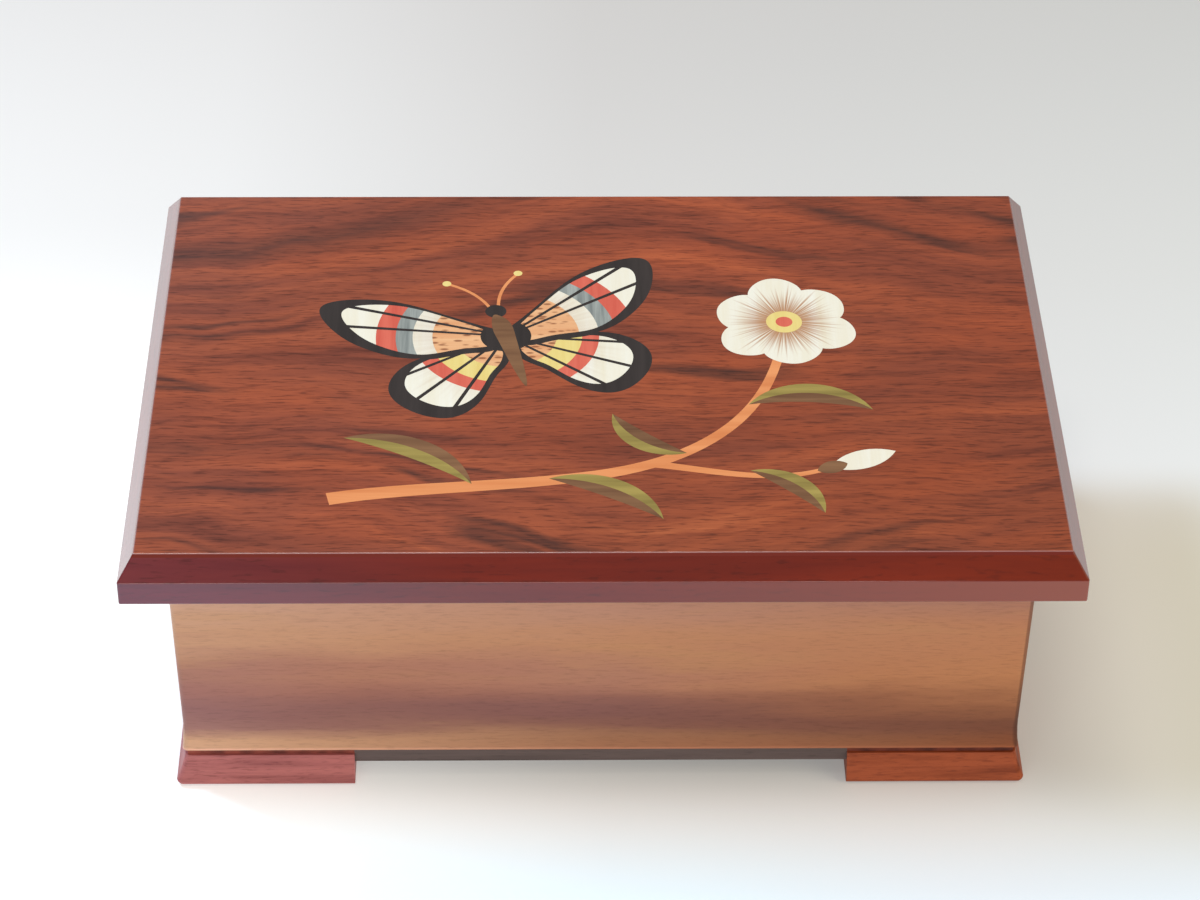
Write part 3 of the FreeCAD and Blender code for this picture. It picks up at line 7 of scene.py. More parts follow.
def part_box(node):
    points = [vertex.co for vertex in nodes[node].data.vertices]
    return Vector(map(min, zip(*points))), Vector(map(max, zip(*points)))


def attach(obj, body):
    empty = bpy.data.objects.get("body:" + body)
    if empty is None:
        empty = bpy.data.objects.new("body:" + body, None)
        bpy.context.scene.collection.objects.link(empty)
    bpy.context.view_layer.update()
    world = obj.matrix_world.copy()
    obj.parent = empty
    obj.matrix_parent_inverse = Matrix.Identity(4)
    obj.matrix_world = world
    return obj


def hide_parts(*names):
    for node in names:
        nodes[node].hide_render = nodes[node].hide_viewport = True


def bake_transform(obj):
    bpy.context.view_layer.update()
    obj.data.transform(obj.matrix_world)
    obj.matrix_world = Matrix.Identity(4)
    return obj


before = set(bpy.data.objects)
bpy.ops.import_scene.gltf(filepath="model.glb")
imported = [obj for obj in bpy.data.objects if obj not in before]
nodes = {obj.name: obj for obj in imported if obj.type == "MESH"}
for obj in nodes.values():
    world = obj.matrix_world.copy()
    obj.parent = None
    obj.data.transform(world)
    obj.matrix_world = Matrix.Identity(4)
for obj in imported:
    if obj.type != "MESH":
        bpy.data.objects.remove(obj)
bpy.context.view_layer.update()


# ---------------------------------------------------------------- camera
# A long lens from in front and well above, a hair to the left of the middle, so that the lid's
# picture and the front wall both show.
camera_place = (-0.01037, -0.50379, 0.43785)
degrees_down = 38.5
degrees_turned = -1.204
degrees_rolled = 0.606
lens = bpy.data.cameras.new("camera")
lens.lens = 108.1
lens.sensor_width = 36.0
camera = bpy.data.objects.new("camera", lens)
bpy.context.scene.collection.objects.link(camera)
camera.matrix_world = (
    Matrix.Translation(camera_place)
    @ Matrix.Rotation(math.radians(degrees_turned), 4, "Z")
    @ Matrix.Rotation(math.radians(90.0 - degrees_down), 4, "X")
    @ Matrix.Rotation(math.radians(degrees_rolled), 4, "Z")
)
bpy.context.scene.camera = camera


# ---------------------------------------------------------------- table and lamps
# A plain pale table top, painted white in front and at the left and greyer towards the back, for the
# fall of the light across it. A bluish lamp stands for a window behind on the left, a broad one low in
# front, a small one overhead, and a weak warm one at the front right.
def colour(red, green, blue):
    """A colour given on the 0 to 255 screen scale, as the shaders want it."""
    linear = []
    for part in (red, green, blue):
        linear.append(((part / 255 + 0.055) / 1.055) ** 2.4 if part > 10 else part / 255 / 12.92)
    return (*linear, 1.0)


def add(tree, kind, inputs, **settings):
    """Adds a shader node. Inputs go by name or number; one that is another node's socket is linked."""
    made = tree.nodes.new("ShaderNode" + kind)
    for name, value in settings.items():
        setattr(made, name, value)
    for name, value in inputs.items():
        if isinstance(value, bpy.types.NodeSocket):
            tree.links.new(value, made.inputs[name])
        else:
            made.inputs[name].default_value = value
    return made


def own_place(tree):
    """Where a point lies on its own piece, in metres."""
    return add(tree, "TexCoord", {}).outputs["Object"]


def axes(tree, vector):
    """A vector's X, Y and Z."""
    return add(tree, "SeparateXYZ", {0: vector}).outputs


def maths(tree, operation, *values):
    return add(tree, "Math", dict(enumerate(values)), operation=operation).outputs[0]


def product(tree, first, *others):
    for other in others:
        first = maths(tree, "MULTIPLY", first, other)
    return first


def fade(tree, value, start, end, low=0.0, high=1.0, kind="SMOOTHSTEP"):
    """Goes from `low` where the value is `start` to `high` where it is `end`."""
    made = add(tree, "MapRange", {"Value": value, "From Min": start, "From Max": end, "To Min": low,
                                  "To Max": high}, interpolation_type=kind)
    return made.outputs[0]


def ramp(tree, factor, stops):
    """A colour ramp; stops are (place, colour)."""
    made = add(tree, "ValToRGB", {"Fac": factor})
    elements = made.color_ramp.elements
    while len(elements) < len(stops):
        elements.new(1.0)
    for element, (place, tint) in zip(elements, stops):
        element.position = place
        element.color = tint
    return made.outputs["Color"]


def blend_colours(tree, kind, factor, one, two):
    made = add(tree, "Mix", {0: factor, 6: one, 7: two}, data_type="RGBA", blend_type=kind)
    return made.outputs[2]


def new_material(name):
    material = bpy.data.materials.new(name)
    material.use_nodes = True
    material.node_tree.nodes.clear()
    return material, material.node_tree


def finish_surface(tree, inputs):
    shader = add(tree, "BsdfPrincipled", inputs)
    add(tree, "OutputMaterial", {"Surface": shader.outputs[0]})


bpy.ops.object.select_all(action="DESELECT")
bpy.ops.mesh.primitive_plane_add(size=6.0, location=(0, 1.0, 0))
table = bpy.context.object
table.name = "table_top"
bpy.ops.object.transform_apply(location=True, rotation=False, scale=False)
table_paper, tree = new_material("table_paper")
where = axes(tree, own_place(tree))
front_to_back = maths(tree, "MULTIPLY_ADD", where["Y"], 1.9, 0.42)
left_to_right = maths(tree, "MULTIPLY_ADD", where["X"], 3.2, 0.5)
# the paper's tone is painted: whiter in front and at the left, greyer at the back, for the fall of the
# light
tone = ramp(tree, front_to_back, [
    (0.00, colour(252, 254, 255)), (0.25, colour(250, 252, 255)), (0.33, colour(240, 240, 239)),
    (0.50, colour(240, 239, 237)), (0.62, colour(231, 228, 224)),
    (0.85, colour(214, 209, 204)), (1.00, colour(208, 203, 198)),
])
paler = ramp(tree, left_to_right, [
    (0.00, colour(253, 253, 253)), (0.25, colour(249, 249, 249)),
    (0.50, colour(232, 231, 230)), (1.00, colour(228, 231, 231)),
])
tone = blend_colours(tree, "MULTIPLY", 1.0, tone, paler)

# a warm painted shadow on the paper to the right of the box, where the box keeps the window light off
near = fade(tree, where["Y"], -0.040, -0.082)
not_near = maths(tree, "SUBTRACT", 1.0, near)
right = fade(tree, where["X"], 0.06, 0.13)
level_with_box = fade(tree, where["Y"], 0.010, 0.045, 1.0, 0.0)
painted_shadow_beside = product(tree, right, level_with_box, not_near)
tone = blend_colours(tree, "MULTIPLY", painted_shadow_beside, tone, colour(246, 244, 231))

# a cool sheen in front and at the left, which the eye and the lacquer see, but which lights nothing
left = fade(tree, where["X"], 0.04, -0.12)
left_and_middle = fade(tree, where["X"], 0.075, 0.010)
not_far = fade(tree, where["Y"], 0.03, 0.13, 1.0, 0.0)
cool = blend_colours(tree, "MIX", left_and_middle, colour(192, 222, 248), colour(183, 229, 255))
cool = blend_colours(tree, "MIX", left, cool, colour(172, 226, 255))
sheen = blend_colours(tree, "MIX", near, tone, cool)
ray = add(tree, "LightPath", {}).outputs
glow = maths(tree, "MULTIPLY_ADD", near, maths(tree, "MULTIPLY_ADD", left_and_middle, 0.06, 0.29), 0.28)
glow = maths(tree, "MULTIPLY_ADD", product(tree, left, not_far), 0.40, glow)
mirrored = product(tree, left, ray["Is Glossy Ray"])
glow = maths(tree, "MULTIPLY_ADD", mirrored, maths(tree, "MULTIPLY_ADD", near, -0.40, 0.50), glow)
glow = product(tree, maths(tree, "MAXIMUM", ray["Is Camera Ray"], ray["Is Glossy Ray"]), glow)
finish_surface(tree, {"Base Color": tone, "Roughness": 0.9, "Specular IOR Level": 0.1,
                      "Emission Color": sheen, "Emission Strength": glow})
table.data.materials.append(table_paper)

box_middle = Vector((0, 0, 0.03))
for name, place, width, height, watts, tint in (
    ("window", (-0.64, 0.45, 0.97), 0.26, 0.26, 9.2, (0.54, 0.74, 1.0)),
    ("front_fill", (-0.35, -1.5, 0.42), 1.2, 0.5, 7.6, (1.0, 0.97, 0.94)),
    ("overhead", (-0.1, -0.15, 1.2), 0.5, 0.3, 3.6, (1.0, 0.97, 0.92)),
    ("right_fill", (1.1, -0.5, 0.6), 1.0, 1.0, 6.0, (1.0, 0.84, 0.60)),
):
    light = bpy.data.lights.new(name, "AREA")
    light.shape = "RECTANGLE"
    light.size = width
    light.size_y = height
    light.energy = watts
    light.color = tint
    lamp = bpy.data.objects.new(name, light)
    lamp.location = place
    lamp.rotation_euler = (box_middle - Vector(place)).to_track_quat("-Z", "Y").to_euler()
    bpy.context.scene.collection.objects.link(lamp)

world = bpy.data.worlds.new("room")
world.use_nodes = True
world.node_tree.nodes.clear()
room = add(world.node_tree, "Background", {"Color": colour(250, 240, 222), "Strength": 0.30})
add(world.node_tree, "OutputWorld", {"Surface": room.outputs[0]})
bpy.context.scene.world = world
bpy.context.scene.view_settings.view_transform = "Standard"


# ---------------------------------------------------------------- case walls
# Four walls of solid wood faced with tan-brown veneer, mitred at the corners. The grain runs level.
# A darker cloud lies low down and slopes along the wall, over a cove painted paler, as a highlight where it
# catches the light. Satin lacquer.
unchanged = (1, 1, 1, 1)  # multiplies a colour to itself


def mask(tree, factor, *stops):
    """A grey ramp; stops are (place, brightness)."""
    return ramp(tree, factor, [(place, (bright, bright, bright, 1)) for place, bright in stops])


def blend_values(tree, factor, one, two):
    return add(tree, "Mix", {0: factor, 2: one, 3: two}).outputs[0]


def speckle(tree, place, scale, detail=2.0, rough=0.5, distortion=0.0):
    """Plain noise, with its scale per metre."""
    made = add(tree, "TexNoise", {"Vector": place, "Scale": scale, "Detail": detail, "Roughness": rough,
                                  "Distortion": distortion})
    return made.outputs["Fac"]


def streaks(tree, place, axis, along, across, detail, rough, distortion=0.0, seed=0.0):
    """Noise drawn out along one axis, as wood grain is. Scales are per metre."""
    scale = [across] * 3
    scale["XYZ".index(axis)] = along
    shift = (seed, seed * 1.7, seed * 0.6)
    drawn_out = add(tree, "Mapping", {"Vector": place, "Location": shift, "Scale": scale})
    return speckle(tree, drawn_out.outputs[0], 1.0, detail, rough, distortion)


def centred(tree, value, reach):
    """Noise about a half, turned into a wander of up to `reach` each way."""
    return product(tree, maths(tree, "SUBTRACT", value, 0.5), 2 * reach)


def bumped(tree, height, strength, distance):
    return add(tree, "Bump", {"Strength": strength, "Distance": distance, "Height": height}).outputs[0]


def use(material, *names):
    """Gives the named CAD pieces this material in every slot."""
    for name in names:
        mesh = nodes[name].data
        mesh.materials.clear()
        mesh.materials.append(material)


def wall_veneer(wall, axis, facing, seed):
    """Veneer that is painted paler and pinker at one end, for the light and its cool reflection from the
    left, and darker and more orange at the other. The ends that meet at a corner are alike.
    """
    material, tree = new_material(wall + "_veneer")
    place = own_place(tree)
    split = axes(tree, place)
    low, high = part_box("front_wall")[0].z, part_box("front_wall")[1].z
    half_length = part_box(wall)[1]["XYZ".index(axis)]
    cloud = streaks(tree, place, axis, 16.0, 120.0, 4.0, 0.6, 0.0, seed)
    patch = streaks(tree, place, axis, 30.0, 240.0, 3.0, 0.6, 0.0, seed + 4)
    fine = streaks(tree, place, axis, 320.0, 2600.0, 3.0, 0.7, 0.0, seed)
    height = maths(tree, "DIVIDE", maths(tree, "SUBTRACT", split["Z"], low), high - low)
    across = maths(tree, "MULTIPLY_ADD", split[axis], facing * 0.5 / half_length, 0.5)
    above_cove = mask(tree, height, (0.0, 0), (0.2, 1))
    level = maths(tree, "MULTIPLY_ADD", centred(tree, cloud, 0.16), above_cove, height)

    # two sets of tones, from the foot of the wall to its top, for the painted lit end and the painted
    # shaded end
    # both sets are paler at the foot, a painted highlight on the cove
    left = ramp(tree, level, [
        (0.00, colour(219, 171, 138)), (0.06, colour(216, 168, 133)), (0.115, colour(164, 116, 107)),
        (0.19, colour(148, 99, 96)), (0.29, colour(162, 107, 97)), (0.48, colour(171, 117, 101)),
        (0.62, colour(205, 155, 120)), (0.80, colour(213, 165, 136)), (1.00, colour(208, 159, 138)),
    ])
    right = ramp(tree, level, [
        (0.00, colour(146, 82, 46)), (0.05, colour(136, 77, 46)), (0.10, colour(124, 72, 49)),
        (0.17, colour(124, 73, 50)), (0.27, colour(156, 98, 64)), (0.38, colour(194, 130, 86)),
        (0.64, colour(191, 128, 90)), (0.82, colour(178, 121, 99)), (1.00, colour(171, 114, 96)),
    ])
    turning = maths(tree, "POWER", across, 0.75)
    at_foot = mask(tree, height, (0.05, 1), (0.12, 0))
    foot_turning = mask(tree, across, (0.0, 0), (0.15, 0.17), (0.50, 0.70), (1.0, 1))
    turning = blend_values(tree, at_foot, turning, foot_turning)
    body = blend_colours(tree, "MIX", turning, left, right)

    # the cloud is bluer midway, and patches above it are golden
    midway = mask(tree, across, (0.20, 0), (0.50, 1), (0.80, 0))
    clouded = mask(tree, level, (0.10, 0), (0.20, 1), (0.46, 1), (0.60, 0))
    body = blend_colours(tree, "MULTIPLY", product(tree, midway, clouded), body, (0.96, 1.02, 1.26, 1))
    patched = mask(tree, patch, (0.50, 0), (0.72, 1))
    gold = product(tree, patched, mask(tree, level, (0.30, 0), (0.50, 0.28)))
    body = blend_colours(tree, "MIX", gold, body, colour(198, 148, 96))
    fleck = ramp(tree, fine, [
        (0.30, colour(196, 190, 186)), (0.48, colour(250, 250, 250)),
        (0.62, unchanged), (0.75, (1.10, 1.08, 1.05, 1)),
    ])
    body = blend_colours(tree, "MULTIPLY", 0.4, body, fleck)

    # a painted highlight along the lower arris, and painted shade on the rounded corners at the right, away
    # from the light
    lower_arris = mask(tree, height, (0.007, 1), (0.013, 0))
    body = blend_colours(tree, "MULTIPLY", lower_arris, body, (1.30, 1.28, 1.42, 1))
    turned = axes(tree, add(tree, "TexCoord", {}).outputs["Normal"])
    corner = maths(tree, "ABSOLUTE", product(tree, turned["X"], turned["Y"]))
    corner = mask(tree, corner, (0.12, 0), (0.38, 1))
    corner = product(tree, corner, maths(tree, "GREATER_THAN", split["X"], 0.0))
    body = blend_colours(tree, "MULTIPLY", corner, body, (0.50, 0.46, 0.46, 1))
    finish_surface(tree, {"Base Color": body, "Roughness": 0.48, "Specular IOR Level": 0.3,
                          "Coat Weight": 0.08, "Coat Roughness": 0.22,
                          "Normal": bumped(tree, fine, 0.12, 0.0002)})
    return material


for wall, axis, facing, seed in (
    ("front_wall", "X", 1, 0.0),
    ("back_wall", "X", -1, 3.1),
    ("left_wall", "Y", 1, 5.7),
    ("right_wall", "Y", -1, 8.3),
):
    use(wall_veneer(wall, axis, facing, seed), wall)


# ---------------------------------------------------------------- bottom board
# A thin board under the walls, stained nearly black and left matt, with the hole of the key well.
# Its edge shows between the feet, and over them, where the feet's red stain has run on to it.
def grained(name, axis, dark, light, rough, coat=0.0, along=14.0, across=420.0, seed=0.0, toned=None):
    """Plain wood with a soft figure and short dark pores along the grain. `toned` adds to its colour."""
    material, tree = new_material(name)
    place = own_place(tree)
    figure = streaks(tree, place, axis, along, across, 7.0, 0.62, 0.3, seed)
    pore = streaks(tree, place, axis, along * 18, across * 6, 2.0, 0.5, 0.0, seed + 2)
    body = ramp(tree, figure, [(0.28, dark), (0.72, light)])
    dots = ramp(tree, pore, [(0.30, (0.25, 0.2, 0.2, 1)), (0.42, unchanged)])
    body = blend_colours(tree, "MULTIPLY", 0.35, body, dots)
    if toned:
        body = toned(tree, place, body)
    finish_surface(tree, {"Base Color": body, "Roughness": rough, "Specular IOR Level": 0.5 - 0.4 * coat,
                          "Coat Weight": coat, "Coat Roughness": 0.08,
                          "Normal": bumped(tree, pore, 0.08, 0.0001)})
    return material


def red_over_feet(tree, place, body):
    """Blotchy red on the board's outer edge, past where each foot begins. Browner and darker at the right,
    which is painted shade.
    """
    foot_start, board_end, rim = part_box("foot_back_right")[0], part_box("bottom_board")[1], 0.0004
    unsigned = axes(tree, add(tree, "VectorMath", {0: place}, operation="ABSOLUTE").outputs[0])
    over_foot = 0.0
    for along, off in ((0, 1), (1, 0)):
        past_start = maths(tree, "GREATER_THAN", unsigned[along], foot_start[along])
        at_rim = maths(tree, "GREATER_THAN", unsigned[off], board_end[off] - rim)
        over_foot = maths(tree, "MAXIMUM", over_foot, product(tree, past_start, at_rim))
    blotch = speckle(tree, place, 300.0)
    ruddy = ramp(tree, blotch, [(0.36, colour(100, 42, 34)), (0.62, colour(152, 74, 60))])
    # the right is painted darker, for the shade over the right feet
    browner = ramp(tree, blotch, [(0.36, colour(80, 30, 20)), (0.62, colour(116, 50, 34))])
    at_right = maths(tree, "GREATER_THAN", axes(tree, place)["X"], 0.0)
    ruddy = blend_colours(tree, "MIX", at_right, ruddy, browner)
    return blend_colours(tree, "MIX", over_foot, body, ruddy)


use(grained("board_stain", "X", colour(80, 67, 66), colour(112, 97, 96), 0.7, toned=red_over_feet),
    "bottom_board")


# ---------------------------------------------------------------- feet
# Bracket feet: two short reddish mahogany mouldings each, mitred at the corner, rebated round the
# board's edge and glued, with a flared and rounded toe. Satin lacquer.
def foot_mahogany(name, dark, light, seed):
    """The grain follows each arm of the foot, so it turns at the mitre."""
    material, tree = new_material(name)
    place = own_place(tree)
    unsigned = axes(tree, add(tree, "VectorMath", {0: place}, operation="ABSOLUTE").outputs[0])
    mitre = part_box("front_wall")[1].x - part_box("right_wall")[1].y
    front_arm = maths(tree, "GREATER_THAN", maths(tree, "ADD", unsigned["Y"], mitre), unsigned["X"])
    figures = [streaks(tree, place, axis, 26.0, 420.0, 5.0, 0.65, 0.4, seed) for axis in "YX"]
    pores = [streaks(tree, place, axis, 420.0, 3200.0, 2.0, 0.6, 0.0, seed + 1) for axis in "YX"]
    pore = blend_values(tree, front_arm, *pores)
    body = ramp(tree, blend_values(tree, front_arm, *figures), [(0.30, dark), (0.55, light), (0.75, light)])
    dots = ramp(tree, pore, [(0.30, (0.45, 0.35, 0.35, 1)), (0.46, unchanged)])
    body = blend_colours(tree, "MULTIPLY", 0.5, body, dots)
    finish_surface(tree, {"Base Color": body, "Roughness": 0.55, "Specular IOR Level": 0.25,
                          "Coat Weight": 0.05, "Coat Roughness": 0.15,
                          "Normal": bumped(tree, pore, 0.10, 0.0001)})
    return material


# each foot has its own copy of the mahogany: painted paler and pinker at the left and darker and more
# orange at the right, for how the light falls
for foot, dark, light, seed in (
    ("foot_front_left", colour(150, 82, 84), colour(190, 114, 113), 1.0),
    ("foot_front_right", colour(124, 52, 23), colour(170, 84, 49), 4.0),
    ("foot_back_left", colour(140, 60, 44), colour(178, 88, 64), 7.0),
    ("foot_back_right", colour(128, 50, 28), colour(170, 78, 48), 9.0),
):
    use(foot_mahogany(foot + "_mahogany", dark, light, seed), foot)


# ---------------------------------------------------------------- hinges
# Two rolled brass butt hinges let into the back wall and the lid's edging, on brass pins, and held
# with countersunk brass screws. The brass is drawn, so its fine lines run along each hinge.
def metal(name, bright, dull, gloss, axis, along, across, relief=0.12, seed=0.0):
    """Bare metal with a cloudy dullness, and fine lines left by drawing, brushing or turning. `gloss`
    is the least and the most roughness."""
    material, tree = new_material(name)
    place = own_place(tree)
    cloud = speckle(tree, place, 170.0, 4.0, 0.6)
    lines = streaks(tree, place, axis, along, across, 3.0, 0.6, 0.0, seed)
    tone = ramp(tree, cloud, [(0.35, dull), (0.62, bright)])
    worn = ramp(tree, lines, [(0.30, (0.86, 0.85, 0.84, 1)), (0.60, unchanged)])
    tone = blend_colours(tree, "MULTIPLY", 0.7, tone, worn)
    mixed = maths(tree, "ADD", product(tree, lines, 0.6), product(tree, cloud, 0.4))
    finish_surface(tree, {"Base Color": tone, "Metallic": 1.0,
                          "Roughness": fade(tree, mixed, 0.30, 0.70, *gloss, "LINEAR"),
                          "Normal": bumped(tree, lines, relief, 0.00004)})
    return material


brass_light, brass_dull = colour(226, 192, 122), colour(212, 174, 104)
use(metal("hinge_brass", brass_light, brass_dull, (0.20, 0.38), "X", 60.0, 2600.0),
    "hinge_lower_leaves", "hinge_upper_leaves", "hinge_pins")
use(metal("screw_brass", brass_light, colour(184, 140, 76), (0.22, 0.40), "Z", 300.0, 3200.0, relief=0.2),
    "case_screws", "lid_screws")


# ---------------------------------------------------------------- movement castings
# Bedplate, barrel bridge and governor frame are cast in zinc, with the fine grain of the mould, and
# are left bright. Steel screws hold them together, and three from below hold the bedplate down.
zinc_light, zinc_dull = colour(196, 196, 192), colour(158, 158, 156)
use(metal("movement_zinc", zinc_light, zinc_dull, (0.34, 0.52), "X", 1500.0, 1500.0, relief=0.35),
    "bedplate", "barrel_bridge", "governor_frame")
steel_light, steel_dull = colour(206, 207, 209), colour(170, 171, 175)
use(metal("screw_steel", steel_light, steel_dull, (0.20, 0.34), "Z", 240.0, 3000.0),
    "movement_screws", "mount_screws")


# ---------------------------------------------------------------- comb
# A hardened steel plate sawn into eighteen teeth, ground flat on top along the teeth, and drawn
# back to a straw grey. It plays the tune as the pins lift its tips.
comb_light, comb_dull = colour(190, 191, 194), colour(148, 150, 156)
use(metal("comb_steel", comb_light, comb_dull, (0.22, 0.40), "Y", 90.0, 4200.0, relief=0.3, seed=2.0),
    "comb")


# ---------------------------------------------------------------- spring barrel
# A turned brass drum with a mainspring of blued steel coiled in it. Its cover has the crown teeth
# that drive the cylinder's pinion. The arbor that winds it up is turned steel.
use(metal("barrel_brass", brass_light, brass_dull, (0.18, 0.34), "Z", 3200.0, 240.0, relief=0.2, seed=3.0),
    "spring_barrel", "crown_cover")
blued_light, blued_dull = colour(92, 98, 112), colour(66, 72, 88)
use(metal("mainspring_steel", blued_light, blued_dull, (0.26, 0.42), "Z", 3000.0, 120.0,
          relief=0.15, seed=4.0), "mainspring")
use(metal("turned_steel", steel_light, steel_dull, (0.18, 0.32), "Z", 3600.0, 200.0, relief=0.2, seed=1.0),
    "winding_arbor")


# ---------------------------------------------------------------- pinned cylinder
# A brass tube turned smooth and drilled for rows of fine steel pins, on a steel axle that also
# carries the pinion and the big brass wheel.
tube_light, tube_dull = colour(232, 198, 126), colour(208, 166, 96)
use(metal("cylinder_brass", tube_light, tube_dull, (0.16, 0.30), "X", 3800.0, 150.0, relief=0.2, seed=5.0),
    "pinned_cylinder", "cylinder_wheel")
use(metal("pin_steel", steel_light, steel_dull, (0.20, 0.34), "X", 2400.0, 2400.0, relief=0.1, seed=6.0),
    "tune_pins", "cylinder_axle", "drive_pinion")


# ---------------------------------------------------------------- governor
# A brass wheel drives a steel worm, whose light moulded fan beats the air and holds the tune to an
# even speed. The fan is white plastic with the slight orange peel of its mould.
use(metal("governor_brass", brass_light, brass_dull, (0.18, 0.34), "X", 3600.0, 300.0,
          relief=0.2, seed=7.0), "governor_wheel")
use(metal("worm_steel", steel_light, steel_dull, (0.14, 0.26), "Z", 3000.0, 600.0, relief=0.15, seed=8.0),
    "governor_worm")
fan_plastic, tree = new_material("fan_plastic")
peel = speckle(tree, own_place(tree), 900.0, 3.0)
white = ramp(tree, peel, [(0.35, colour(224, 221, 211)), (0.65, colour(236, 234, 226))])
finish_surface(tree, {"Base Color": white, "Roughness": 0.45, "Normal": bumped(tree, peel, 0.15, 0.0001)})
use(fan_plastic, "governor_fan")


# ---------------------------------------------------------------- partition and pane cleats
# A dark red wood divider between the movement's bay and the tray, and two strips that carry the pane.
# The divider is lacquered thinly, and the strips are bare.
divider_dark, divider_light = colour(98, 46, 32), colour(136, 72, 50)
use(grained("divider_wood", "Y", divider_dark, divider_light, 0.45, 0.1), "partition")
use(grained("cleat_wood", "X", divider_dark, divider_light, 0.5), "pane_cleats")


# ---------------------------------------------------------------- stop rod, guide and spring
# A steel rod that the shut lid holds down, so that its hook stands in the fan's way. It slides in a
# folded steel guide screwed to the partition, and a wire spring lifts it as the lid opens.
use(metal("rod_steel", steel_light, steel_dull, (0.20, 0.34), "Z", 90.0, 2800.0, relief=0.15, seed=9.0),
    "stop_rod")
use(metal("guide_steel", steel_light, steel_dull, (0.26, 0.42), "Z", 120.0, 2600.0, relief=0.2, seed=11.0),
    "stop_guide")
spring_turns = 6
spring_low, spring_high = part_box("stop_spring")
middle = (spring_low + spring_high) / 2
wire = 0.00017
coil_radius = (spring_high.x - spring_low.x) / 2 - wire
pitch = (spring_high.z - spring_low.z - 2 * wire) / spring_turns
bpy.ops.object.select_all(action="DESELECT")
bpy.ops.mesh.primitive_circle_add(vertices=10, radius=wire, location=(0, 0, 0),
                                  rotation=(math.pi / 2, 0, 0))
coil = bpy.context.object
coil.name = "stop_spring_coil"
bpy.ops.object.transform_apply(location=True, rotation=True, scale=True)
bpy.ops.object.mode_set(mode="EDIT")
bpy.ops.mesh.select_all(action="SELECT")
bpy.ops.transform.translate(value=(coil_radius, 0, 0))
bpy.ops.object.mode_set(mode="OBJECT")
turns = coil.modifiers.new("turns", "SCREW")
turns.axis = "Z"
turns.screw_offset = pitch
turns.iterations = spring_turns
turns.steps = 30
turns.render_steps = 30
turns.use_smooth_shade = True
bpy.ops.object.modifier_apply(modifier="turns")
bpy.ops.object.mode_set(mode="EDIT")
bpy.ops.mesh.select_mode(type="VERT")
bpy.ops.mesh.select_all(action="DESELECT")
bpy.ops.mesh.select_non_manifold()
bpy.ops.mesh.fill_holes(sides=0)
bpy.ops.mesh.select_all(action="SELECT")
bpy.ops.mesh.normals_make_consistent(inside=False)
bpy.ops.object.mode_set(mode="OBJECT")
coil.location = (middle.x, middle.y, spring_low.z + wire)
bpy.ops.object.transform_apply(location=True, rotation=True, scale=True)
coil_light, coil_dull = colour(150, 154, 162), colour(110, 114, 124)
coil.data.materials.append(
    metal("coil_steel", coil_light, coil_dull, (0.20, 0.34), "Z", 1200.0, 1200.0, relief=0.1, seed=12.0))
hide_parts("stop_spring")
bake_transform(coil)


# ---------------------------------------------------------------- clear pane
# A polished acrylic sheet that lies on the cleats over the movement, with a hole for the stop rod.
# Wiping has left faint scuffs in it.
clear_acrylic, tree = new_material("clear_acrylic")
scuffs = streaks(tree, own_place(tree), "X", 60.0, 1400.0, 2.0, 0.6, 0.6, 13.0)
finish_surface(tree, {"Base Color": colour(247, 251, 251), "Transmission Weight": 1.0, "IOR": 1.49,
                      "Roughness": fade(tree, scuffs, 0.55, 0.80, 0.015, 0.10, "LINEAR"),
                      "Normal": bumped(tree, scuffs, 0.02, 0.00003)})
use(clear_acrylic, "clear_pane")


# ---------------------------------------------------------------- velvet tray
# Four stiff cards covered with dark red velvet line the tray's sides, and a velvet pad with thin
# wadding lies on its floor. The cloth is drawn over the edges and glued behind.
def red_velvet(name, seed):
    """Cotton velvet whose pile has been brushed this way and that."""
    material, tree = new_material(name)
    place = own_place(tree)
    stroked = add(tree, "Mapping", {"Vector": place, "Location": (seed, seed, seed),
                                    "Scale": (30.0, 55.0, 45.0)})
    nap = speckle(tree, stroked.outputs[0], 1.0, 2.0, 0.5, 0.4)
    pile = speckle(tree, place, 4200.0, 2.0, 0.7)
    body = ramp(tree, nap, [
        (0.34, colour(98, 14, 24)), (0.50, colour(110, 18, 28)), (0.68, colour(126, 25, 36)),
    ])
    tufts = ramp(tree, pile, [(0.32, (0.62, 0.58, 0.58, 1)), (0.60, (1.08, 1.08, 1.08, 1))])
    body = blend_colours(tree, "MULTIPLY", 0.85, body, tufts)
    finish_surface(tree, {"Base Color": body, "Roughness": 0.92, "Specular IOR Level": 0.25,
                          "Sheen Weight": 0.75, "Sheen Roughness": 0.35,
                          "Sheen Tint": colour(222, 150, 150),
                          "Normal": bumped(tree, pile, 0.35, 0.00025)})
    return material


